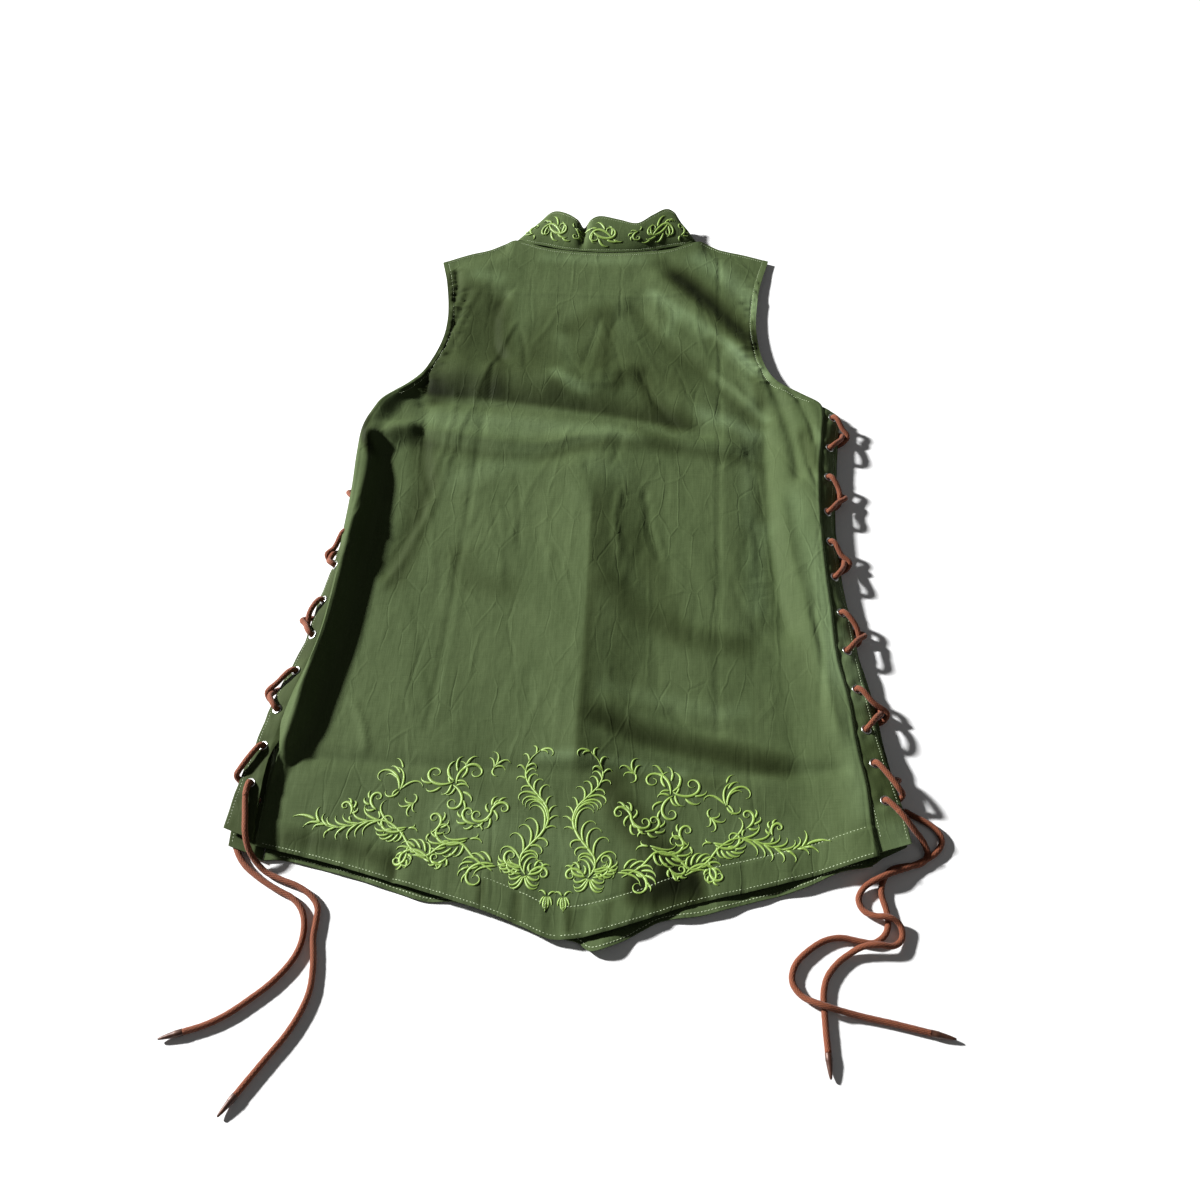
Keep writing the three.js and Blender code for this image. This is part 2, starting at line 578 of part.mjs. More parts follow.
/** Merges a primitive's doubled points so that it is one closed surface. */
function closed(geometry) {
  const source = geometry.index ? geometry.toNonIndexed() : geometry;
  const position = source.attributes.position;
  const places = new Map();
  const values = [];
  const index = [];
  for (let i = 0; i < position.count; i += 1) {
    const p = [position.getX(i), position.getY(i), position.getZ(i)];
    const key = p.map((v) => Math.round(v * 2000)).join();
    if (!places.has(key)) {
      places.set(key, values.length / 3);
      values.push(...p);
    }
    index.push(places.get(key));
  }
  const kept = [];
  for (let i = 0; i < index.length; i += 3) {
    const [a, b, c] = index.slice(i, i + 3);
    if (a !== b && b !== c && a !== c) kept.push(a, b, c);
  }
  const merged = new THREE.BufferGeometry();
  merged.setAttribute("position", new THREE.Float32BufferAttribute(values, 3));
  merged.setIndex(kept);
  return merged;
}

// Laces

/** A route through chosen places, one step of the tube at each of them or a share between. */
class Route extends THREE.Curve {
  constructor(points, between) {
    super();
    this.curve = new THREE.CatmullRomCurve3(points, false, "centripetal");
    this.steps = (points.length - 1) * between;
  }

  getPoint(t, target) {
    return this.curve.getPoint(t, target);
  }

  getPointAt(t, target) {
    return this.curve.getPoint(t, target);
  }

  getTangentAt(t, target) {
    return this.curve.getTangent(t, target);
  }
}

/** A round cord along a list of places. */
function cordGeometry(points, between) {
  const section = new THREE.Shape();
  for (let i = 0; i < CORD_SIDES; i += 1) {
    const a = ((i + 0.5) * 2 * Math.PI) / CORD_SIDES;
    const [x, y] = [(CORD / 2) * Math.cos(a), (CORD / 2) * Math.sin(a)];
    if (i === 0) section.moveTo(x, y);
    else section.lineTo(x, y);
  }
  section.closePath();
  const places = points.map((p) => new THREE.Vector3(p.x - MIDDLE_X, p.y - MIDDLE_Y, p.z));
  const route = new Route(places, between);
  return new THREE.ExtrudeGeometry(section, { steps: route.steps, extrudePath: route, curveSegments: 1 });
}

/** The lace of one side: over the edges between eyelets 1 and 2, 3 and 4, and so on. */
class Lacing {
  constructor(side) {
    this.side = side;
  }

  /** Eyelet i of the back or front placket, and which of the two it is. */
  stop(layer, i) {
    const back = layer === "back";
    const eyelet = back ? this.side.backEyelet(i) : this.side.frontEyelet(i);
    return { ...eyelet, back, layer };
  }

  /** A distance out from the centre line, a length and a height, as a place on this side. */
  place(out, y, z) {
    return new THREE.Vector3(out * this.side.sign, y, z);
  }

  /** Place on a placket's edge: out from the edge, and over or under it. */
  edgePoint(layer, y, out, over) {
    const edge = along(this.side.table[layer], y);
    if (layer === "front") return this.place(edge + out, y, UNDER_CLOTH);
    const rise = this.side.backTop(edge, y) - this.side.backTop(edge - 1, y);
    const tilt = Math.hypot(1, rise);
    return this.place(edge + out - (over * rise) / tilt, y, this.side.backTop(edge, y) + over / tilt);
  }

  /** Distance out of the crossing strand at y: clear of both plackets' edges. */
  clearOf(y) {
    return Math.max(along(this.side.table.back, y), along(this.side.table.front, y)) + EDGE_CLEAR;
  }

  /** Places where the cord comes out of an eyelet and turns towards the edge. */
  leave(stop, towards) {
    const turn = towards.clone().sub(stop.point);
    turn.addScaledVector(stop.normal, -turn.dot(stop.normal)).normalize();
    const { rise, clear } = stop.back ? LEAVE_BACK : LEAVE_FRONT;
    return [
      stop.point.clone().addScaledVector(stop.normal, rise).addScaledVector(turn, 0.2),
      stop.point.clone().addScaledVector(stop.normal, clear).addScaledVector(turn, LEAVE_REACH),
    ];
  }

  /** A strand from one eyelet over the edges to the next eyelet of the other placket. */
  cross(from, to, outer) {
    const y = (share) => from.point.y + (to.point.y - from.point.y) * share;
    const extra = outer ? OUTER_EXTRA : 0;
    const wrap = (stop, share) => {
      const level = this.edgePoint(stop.layer, y(share), stop.back ? 0.5 : 0.3, OVER_CLOTH);
      if (stop.back) return [level];
      const out = this.clearOf(y(share)) - 0.3 + extra * 0.3;
      return [level, this.place(out, y(share * 0.7 + 0.15), TURN_HEIGHT)];
    };
    const middle = this.place(this.clearOf(y(0.5)) + extra, y(0.5), CROSSING_HEIGHT);
    const start = wrap(from, 0.32);
    const end = wrap(to, 0.68).reverse();
    return [
      ...this.leave(from, start[0]),
      ...start,
      middle,
      ...end,
      ...this.leave(to, end[end.length - 1]).reverse(),
    ];
  }

  /** The straight run inside, from one eyelet to the next on the same placket. */
  bar(from, to) {
    const onward = new THREE.Vector3(0, Math.sign(to.point.y - from.point.y), 0);
    const under = (stop, depth, shift) =>
      stop.point.clone().addScaledVector(stop.normal, -depth).addScaledVector(onward, shift);
    return [
      under(from, BAR_ENTRY, 0.8),
      under(from, BAR_DEPTH, 5),
      under(to, BAR_DEPTH, -5),
      under(to, BAR_ENTRY, -0.8),
    ];
  }

  /** The strand that starts at eyelet 1 of a layer, down to eyelet 11 of the other layer. */
  strand(layer) {
    const other = layer === "back" ? "front" : "back";
    const points = [];
    let at = layer;
    for (let i = 0; i < 10; i += 2) {
      const next = at === "back" ? "front" : "back";
      const from = this.stop(at, i);
      const to = this.stop(next, i + 1);
      const outer = (at === "back") === (i % 4 === 0);
      points.push(from.point, ...this.cross(from, to, outer), to.point);
      const below = this.stop(next, i + 2);
      points.push(...this.bar(to, below));
      at = next;
    }
    points.push(this.stop(other, 10).point);
    return points;
  }

  /** Last crossing of the strand out of back eyelet 11: over the back edge, in to front 12. */
  lastFromBack() {
    const from = this.stop("back", 10);
    const to = this.stop("front", 11);
    const y = (share) => from.point.y + (to.point.y - from.point.y) * share;
    const rim = this.edgePoint("back", y(0.5), 0.5, OVER_CLOTH - 0.2);
    const edge = along(this.side.table.back, y(0.6));
    const round = this.place(edge + 4.3, y(0.6), rim.z - 5);
    const between = this.place(edge + 0.5, y(0.68), 11.1);
    const inside = to.point.clone().add(this.place(5, 3.6, 4.1));
    return [from.point, ...this.leave(from, rim), rim, round, between, inside, ...this.exit(to)];
  }

  /** Down through front eyelet 12 and out under the placket. */
  exit(to) {
    const { rise, clear } = LEAVE_FRONT;
    const shift = (out, y, z) => to.point.clone().add(this.place(out, y, z));
    return [
      shift(0.5, 0.4, 3),
      to.point,
      shift(0.5, 0, -rise),
      shift(4.6, 1, -clear),
      shift(12, 2.4, -clear),
    ];
  }

  /** Last crossing of the strand out of front eyelet 11: round the front edge, up to back 12. */
  lastFromFront() {
    const from = this.stop("front", 10);
    const to = this.stop("back", 11);
    const y = (share) => from.point.y + (to.point.y - from.point.y) * share;
    const under = this.edgePoint("front", y(0.22), 0.3, 0);
    const edge = along(this.side.table.front, y(0.3));
    const round = this.place(edge + 4.6, y(0.3), 6.8);
    const between = this.place(edge + 0.5, y(0.4), 10.9);
    const near = (depth, out, down) =>
      to.point.clone().addScaledVector(to.normal, depth).add(this.place(out, down, 0));
    const tail = [near(-5, 4.5, 4.5), near(-3, 0, 0), to.point, near(3.3, 0.1, -0.2), near(5.6, 2, -3.6)];
    return [from.point, ...this.leave(from, under), under, round, between, ...tail];
  }

  /** Places of the whole laced run, from back eyelet 12 round to front eyelet 12. */
  places() {
    const first = [...this.strand("back"), ...this.lastFromFront().slice(1)];
    const second = [...this.strand("front"), ...this.lastFromBack().slice(1)];
    const [top, low] = [this.stop("back", 0), this.stop("front", 0)];
    const link = [top, low].map((stop) => stop.point.clone().addScaledVector(stop.normal, -LINK_DEPTH));
    return [...first.reverse(), ...link, ...second];
  }
}

/** A pointed aglet past the end of a cord, level with it. */
function agletGeometry(points) {
  const [before, end] = points.slice(-2).map((p) => new THREE.Vector3(...p));
  const direction = end.clone().sub(before).normalize();
  const profile = [
    new THREE.Vector2(0, 0),
    new THREE.Vector2(CORD / 2 + 0.1, 0),
    new THREE.Vector2(CORD / 2, AGLET_BARREL),
    new THREE.Vector2(AGLET_TIP / 2, AGLET_LENGTH),
    new THREE.Vector2(0, AGLET_LENGTH),
  ];
  const aglet = new THREE.LatheGeometry(profile, 10);
  aglet.applyQuaternion(new THREE.Quaternion().setFromUnitVectors(new THREE.Vector3(0, 1, 0), direction));
  const start = end.addScaledVector(direction, SEAM_GAP);
  aglet.translate(start.x - MIDDLE_X, start.y - MIDDLE_Y, start.z);
  return aglet;
}

// Collar

/** Rows of points round the collar: from the slit, round the left side, back and right side. */
function collarRows() {
  const levels = [0, 0.5, 1];
  const front = (sign) =>
    COLLAR_FRONT_SHARES.map((share) => {
      const bx = sign * share * NECK_HALF;
      const neck = along(FRONT_NECK, bx);
      return { bx, by: neck + COLLAR_SEAM, tx: bx * COLLAR_NARROWING, ty: neck + COLLAR_UNDER_RISE };
    });
  const under = (s) => {
    const z = COLLAR_UNDER_HEIGHT;
    return [new THREE.Vector3(s.bx, s.by, z), new THREE.Vector3(s.tx, s.ty, z)];
  };
  const over = (s) => [
    new THREE.Vector3(s.bx, s.by, COLLAR_BASE_HEIGHT),
    new THREE.Vector3(s.tx, s.ty, s.tz),
  ];
  const fold = (s, sign) => [
    new THREE.Vector3(s.bx + sign * COLLAR_FOLD, s.by, (COLLAR_BASE_HEIGHT + COLLAR_UNDER_HEIGHT) / 2),
    new THREE.Vector3(s.tx + sign * COLLAR_FOLD, s.ty, s.tz / 2),
  ];
  const sections = [
    ...front(-1).map(under),
    fold(COLLAR_BACK[0], -1),
    ...COLLAR_BACK.map(over),
    fold(COLLAR_BACK[COLLAR_BACK.length - 1], 1),
    ...front(1).reverse().map(under),
  ];
  return levels.map((share) => sections.map(([base, top]) => base.clone().lerp(top, share)));
}

// The garment's pieces

addPiece("back_panel", wallGeometry(backRows(), CLOTH), CLOTH_COLOUR, 0.72, 0);

/** Outline of the front panel, hem first and then counter-clockwise, with the slit. */
function frontOutline() {
  const sides = [RIGHT_SIDE, LEFT_SIDE].map((side) => {
    const levels = [side.frontBottom[0], ...[...side.eyelets].reverse()];
    return levels.map((y) => [side.sign * (along(side.front, y) - PLACKET_WIDTH - 3 * SEAM_GAP), y]);
  });
  const armhole = (edge, sign) =>
    edge
      .filter(([y]) => y > ARMHOLE_FOOT && y < edge[edge.length - 1][0])
      .map(([y, x]) => [x - sign * SEAM_INSET, y]);
  const shoulder = (sign) =>
    TOP.filter(([x]) => x * sign > NECK_HALF).map(([x, y]) => [x - sign, y - SEAM_INSET]);
  const neck = FRONT_NECK.filter(([x]) => x > 0);
  const slitFoot = along(FRONT_NECK, 0) - SLIT_LENGTH;
  const slitTop = along(FRONT_NECK, 0);
  return [
    ...FRONT_HEM,
    ...sides[0],
    [UNDERARM_RIGHT, UNDERARM_LEVEL],
    ...armhole(RIGHT_EDGE, 1),
    ...shoulder(1).reverse(),
    ...neck.reverse(),
    [SLIT_WIDTH / 2, slitTop],
    [0, slitFoot],
    [-SLIT_WIDTH / 2, slitTop],
    ...FRONT_NECK.filter(([x]) => x < 0).reverse(),
    ...shoulder(-1).reverse(),
    ...armhole(LEFT_EDGE, -1).reverse(),
    [UNDERARM_LEFT, UNDERARM_LEVEL],
    ...sides[1].reverse(),
  ];
}

const frontShape = new THREE.Shape(
  frontOutline().map(([x, y]) => new THREE.Vector2(x - MIDDLE_X, y - MIDDLE_Y)),
);
addPiece(
  "front_panel",
  new THREE.ExtrudeGeometry(frontShape, { depth: FRONT_CLOTH, bevelEnabled: false }),
  CLOTH_COLOUR,
  0.72,
  0,
);

addPiece("collar", wallGeometry(collarRows(), COLLAR_CLOTH), CLOTH_DARK, 0.7, 0);

const rimProfile = [
  new THREE.Vector2(EYELET_HOLE / 2, 0),
  new THREE.Vector2(EYELET_RIM / 2, 0),
  new THREE.Vector2(EYELET_RIM / 2 - EYELET_BEVEL, EYELET_HEIGHT),
  new THREE.Vector2(EYELET_HOLE / 2, EYELET_HEIGHT),
  new THREE.Vector2(EYELET_HOLE / 2, 0),
];

for (const [label, table, edge, height, backEnd, frontEnd] of [
  ["left", LEFT_SIDE, LEFT_EDGE, LEFT_HEIGHT, FREE_LEFT_BACK, FREE_LEFT_FRONT],
  ["right", RIGHT_SIDE, RIGHT_EDGE, RIGHT_HEIGHT, FREE_RIGHT_BACK, FREE_RIGHT_FRONT],
]) {
  const side = new Side(table, edge, height);
  addPiece(`back_placket_${label}`, side.backPlacket(), CLOTH_DARK, 0.72, 0);
  addPiece(`front_placket_${label}`, side.frontPlacket(), CLOTH_DARK, 0.72, 0);
  table.eyelets.forEach((_, i) => {
    const { point, normal } = side.backEyelet(i);
    const rim = new THREE.LatheGeometry(rimProfile, 8);
    rim.applyQuaternion(new THREE.Quaternion().setFromUnitVectors(new THREE.Vector3(0, 1, 0), normal));
    const seat = point.clone().addScaledVector(normal, PLACKET_CLOTH / 2 + EYELET_SEAT);
    rim.translate(seat.x - MIDDLE_X, seat.y - MIDDLE_Y, seat.z);
    addPiece(`eyelet_${label}_${i + 1}`, rim, METAL_COLOUR, 0.25, 0.9);
  });
  addPiece(`lace_${label}`, cordGeometry(new Lacing(side).places(), 1), CORD_COLOUR, 0.85, 0);
  for (const [layer, points] of [["back", backEnd], ["front", frontEnd]]) {
    const places = points.map((p) => new THREE.Vector3(...p));
    addPiece(`lace_end_${label}_${layer}`, cordGeometry(places, 1), CORD_COLOUR, 0.85, 0);
    addPiece(`aglet_${label}_${layer}`, agletGeometry(points), AGLET_COLOUR, 0.5, 0.4);
  }
}

export default garment;
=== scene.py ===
"""A sleeveless tabard laid flat with its back up, laced down both sides.

Tables and lengths are in millimetres from the point of the back hem: x towards the wearer's
right side as it lies, y towards the collar, z up from the surface. Finished meshes are in
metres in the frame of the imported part.
"""

import json
import logging
import math
from dataclasses import dataclass, field
from enum import Enum
from typing import Callable, Sequence

import bpy
import numpy as np
from mathutils import Matrix, Vector

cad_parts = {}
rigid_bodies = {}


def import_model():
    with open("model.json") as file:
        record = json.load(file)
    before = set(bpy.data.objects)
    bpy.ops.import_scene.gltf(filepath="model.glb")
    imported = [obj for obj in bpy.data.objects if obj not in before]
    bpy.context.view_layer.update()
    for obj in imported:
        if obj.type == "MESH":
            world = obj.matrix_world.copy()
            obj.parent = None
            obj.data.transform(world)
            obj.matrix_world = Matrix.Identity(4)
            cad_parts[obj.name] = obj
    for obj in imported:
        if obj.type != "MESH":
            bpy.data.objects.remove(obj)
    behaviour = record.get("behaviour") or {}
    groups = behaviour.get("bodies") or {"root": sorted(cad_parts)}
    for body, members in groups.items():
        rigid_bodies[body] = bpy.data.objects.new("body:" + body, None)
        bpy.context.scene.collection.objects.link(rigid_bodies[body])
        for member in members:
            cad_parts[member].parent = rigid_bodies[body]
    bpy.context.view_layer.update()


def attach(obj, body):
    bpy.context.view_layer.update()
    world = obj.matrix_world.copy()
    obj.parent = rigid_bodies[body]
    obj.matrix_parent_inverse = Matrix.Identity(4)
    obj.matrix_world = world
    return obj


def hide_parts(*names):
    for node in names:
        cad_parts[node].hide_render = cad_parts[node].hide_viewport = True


log = logging.getLogger("tabard")
Table = Sequence[Sequence[float]]
Array = np.ndarray
Reals = np.ndarray | float
Place = Callable[[Array, Array], Array]
Fold = tuple[Sequence, float, float, float, float, float]
Colour = tuple[float, float, float]
Piece = bpy.types.Object
Socket = bpy.types.NodeSocket

MIDDLE = np.array([3.1, 444.4, 0.0])  # middle of the garment's extent, from the hem point
MM = 0.001
FAR_AWAY = 1e9
LAYERS = ("back", "front")

# Sizes of the garment

CLOTH = 1.0
PLACKET_CLOTH = 1.8
COLLAR_CLOTH = 2.0
BAND_DEPTH = 28.0
EDGE_STITCH = 3.2
PLACKET_WIDTH = 31.0
PLACKET_ROWS = {"back": (3.2, 27), "front": (3.2,)}  # stitching, in from the edge
SEAM_STEP = 2.5
FRONT_LIFT = 5.9
CORD = 5.4
EYELET_HOLE = 7.2
EYELET_RIM = 9.6
ROW_SHIFT = 6.0
LAST_SHIFT = 12.0
NECK_HALF = 112.0
ARMHOLE_FOOT = 600.0

# Outlines: y and x along the side edges, x and y along the hems, the shoulders and the neck

LEFT_EDGE = [
    [64, -268], [118, -269], [157, -268], [209, -260], [238, -253], [271, -247], [315, -244],
    [365, -243], [444, -243], [498, -246], [530, -247.5], [548, -245.5], [566, -239.5],
    [579, -234.5], [590, -227], [605, -212], [627, -196], [647, -188], [673, -181],
    [697, -178], [730, -179], [780, -187], [815, -196],
]
LEFT_SEAM = [*LEFT_EDGE[:8], [400, -241], [444, -238], [548, -234], [590, -226]]
RIGHT_EDGE = [
    [79, 275], [103, 271], [141, 269], [180, 263], [231, 258], [274, 250], [330, 247], [377, 244],
    [439, 242], [498, 243], [547, 248], [585, 251], [598, 247], [613, 228], [631, 204], [654, 191],
    [684, 184], [716, 181], [749, 182], [791, 187], [838, 198],
]
HEM = [
    [-268, 64], [-208, 53], [-136, 36], [-65, 18], [-30, 6], [-4, -4], [22, -2], [60, 10],
    [113, 31], [173, 48], [275, 79],
]
TOP = [
    [-196, 815], [-165, 831], [-142, 840], [-113, 856], [-74, 845], [-37, 840], [0, 839],
    [42, 843], [78, 850], [115, 866], [140, 855], [170, 847], [198, 838],
]
FRONT_HEM = [
    [-258, 53], [-240, 54], [-208, 48], [-172, 40], [-136, 30], [-112, 24], [-88, 25], [-60, 19],
    [-30, 9], [0, -1], [20, -5], [29, -12], [40, -10.5], [56, -3], [73, 8], [89, 17], [122, 23],
    [156, 34], [208, 51], [243, 67], [270, 73],
]
FRONT_NECK = [
    [-110, 852], [-92, 822], [-64, 797], [-30, 784], [0, 781], [30, 785], [64, 800], [92, 827],
    [112, 862],
]

# Heights of the back's upper face: y and z along its middle and both edges

MIDDLE_HEIGHT = [
    [-10, 6.4], [40, 7.4], [120, 9], [300, 10.5], [450, 11], [600, 10], [700, 8.6], [780, 8],
    [860, 7.4],
]
LEFT_HEIGHT = [
    [60, 8.5], [100, 9], [140, 10.5], [160, 15], [180, 20.5], [240, 21.8], [315, 23],
    [400, 27.4], [480, 27.4], [505, 25.5], [530, 22.5], [548, 20.5], [566, 20],
    [579, 19], [590, 17], [600, 14.5], [612, 12.5], [627, 11], [652, 10], [697, 8.5],
    [750, 6.6], [815, 4.2],
]
LEFT_SEAM_HEIGHT = [
    [60, 19.5], [100, 21.6], [180, 21.8], [240, 21.8], [315, 23], [365, 25], [400, 22.5],
    [434, 17], [590, 12],
]
RIGHT_HEIGHT = [
    [75, 20.5], [110, 21.8], [180, 21.5], [280, 20.8], [440, 21], [548, 21], [590, 20], [613, 16],
    [654, 11], [700, 8.5], [760, 6.6], [838, 4.2],
]
RIGHT_FOOT = 62.0
SHOULDER_FADE = 15.0
SHOULDER_HEIGHT = 3.6

# Folds of the back: places along each, rise (below zero for a trough), widths on the left
# and right of its run, share of sharpness, and length over which its ends fade
FOLDS = [
    ([(-202, 596), (-188, 591), (-120, 588), (-20, 582), (40, 573), (96, 560), (130, 552)],
     -7.6, 42, 26, 0.9, 30),
    ([(-230, 546), (-200, 546), (-160, 538), (-100, 530), (-50, 527), (-20, 538), (30, 546),
      (100, 542), (165, 532)], 5.4, 24, 24, 0.6, 30),
    ([(-242, 522), (-226, 530), (-206, 538), (-188, 542)], 8, 20, 24, 0.3, 22),
    ([(-170, 640), (-100, 632), (-20, 628), (40, 640)], 4.8, 30, 46, 0.1, 40),
    ([(62, 806), (100, 764), (140, 718), (172, 680)], 4.4, 26, 38, 0.4, 30),
    ([(74, 822), (104, 794), (140, 752), (168, 716)], -2.4, 24, 18, 0.5, 30),
    ([(36, 752), (66, 700), (96, 668), (130, 640), (160, 612), (190, 580)], -4.2, 26, 50, 0.5, 30),
    ([(130, 652), (162, 618), (192, 584)], 2.4, 12, 14, 0.5, 14),
    ([(-116, 768), (-125, 720), (-121, 680), (-106, 650)], -4.8, 14, 44, 0.5, 24),
    ([(-98, 712), (-118, 650), (-130, 600), (-140, 555), (-150, 490), (-163, 425), (-180, 370),
      (-196, 335)], 1.4, 6, 16, 1, 16),
    ([(-184, 585), (-182, 545), (-176, 500), (-166, 460), (-171, 430), (-184, 385), (-196, 350)],
     -2.6, 14, 36, 0.8, 16),
    ([(-192, 645), (-189, 615), (-190, 580)], -3.12, 8, 6, 1, 10),
    ([(-156, 606), (-153, 560), (-157, 520), (-165, 478)], 1.55, 4, 6, 1, 14),
    ([(-116, 650), (-118, 560), (-121, 480), (-123, 400), (-126, 300), (-131, 180)],
     -1.55, 4, 5, 1, 20),
    ([(138, 868), (139, 640), (137, 400), (136, 187)], -1.55, 5, 4, 1, 20),
    ([(-160, 762), (-60, 764), (60, 764), (100, 770)], 0.7, 7, 6, 1, 20),
    ([(-236, 150), (-100, 147), (0, 149), (120, 153), (252, 160)], -2.64, 16, 16, 0.9, 12),
    ([(-14, 515), (0, 470), (7, 420), (8, 350), (8, 260), (7, 150)], 8, 74, 80, 0.7, 40),
    ([(30, 222), (80, 202), (140, 188), (200, 174), (232, 166)], 2.6, 14, 18, 0.6, 24),
    ([(14, 366), (56, 330), (104, 305), (160, 294)], 2.2, 20, 22, 0.5, 24),
    ([(40, 122), (66, 100), (80, 72), (90, 44)], 3.4, 30, 20, 0.5, 20),
    ([(186, 600), (188, 540), (189, 480), (191, 420), (196, 350), (206, 300)],
     -6, 18, 48, 0.8, 30),
    ([(190, 648), (203, 606), (212, 570), (218, 540), (221, 492)], -3.84, 12, 10, 0.3, 16),
    ([(210, 628), (226, 602), (236, 568), (239, 540)], -2.88, 9, 6, 1, 12),
    ([(226, 552), (231, 512), (242, 478)], -3.12, 9, 6, 1, 12),
    ([(200, 470), (208, 400), (222, 330), (236, 250), (246, 190)], 2.88, 14, 14, 0.6, 30),
    ([(-178, 800), (-173, 775), (-174, 745)], -2.88, 9, 6, 0.8, 10),
    ([(-158, 768), (-165, 728), (-174, 690)], -2.4, 10, 8, 0.8, 12),
    ([(-263, 158), (-259, 140), (-262, 122)], -2.88, 7, 5, 0.8, 8),
    ([(-233, 408), (-229, 420), (-225, 440)], 2.2, 3, 3, 0.8, 8),
    ([(-232, 376), (-228, 384), (-222, 394)], 2.2, 3, 3, 0.8, 8),
    ([(-90, 700), (-84, 672), (-80, 640)], -1.2, 8, 8, 1, 14),
    ([(0, 728), (-6, 690), (-14, 655)], -1.2, 8, 8, 1, 14),
    ([(-40, 625), (-10, 618), (25, 622)], 1.0, 9, 8, 0.5, 16),
    ([(60, 470), (66, 430), (78, 385)], -2.21, 8, 8, 1, 14),
    ([(34, 470), (30, 430), (38, 385)], 1.99, 7, 7, 1, 14),
    ([(-205, 210), (-192, 186), (-184, 160)], 1.99, 6, 6, 1, 12),
    ([(90, 215), (110, 198), (142, 192)], -2.43, 12, 10, 0.6, 14),
    ([(228, 330), (234, 280), (232, 225)], -2.21, 7, 7, 0.9, 14),
    ([(-20, 560), (-60, 470), (-76, 400)], 0.8, 4, 5, 1, 24),
    ([(50, 640), (66, 600), (92, 566)], -1.6, 9, 9, 0.8, 14),
]
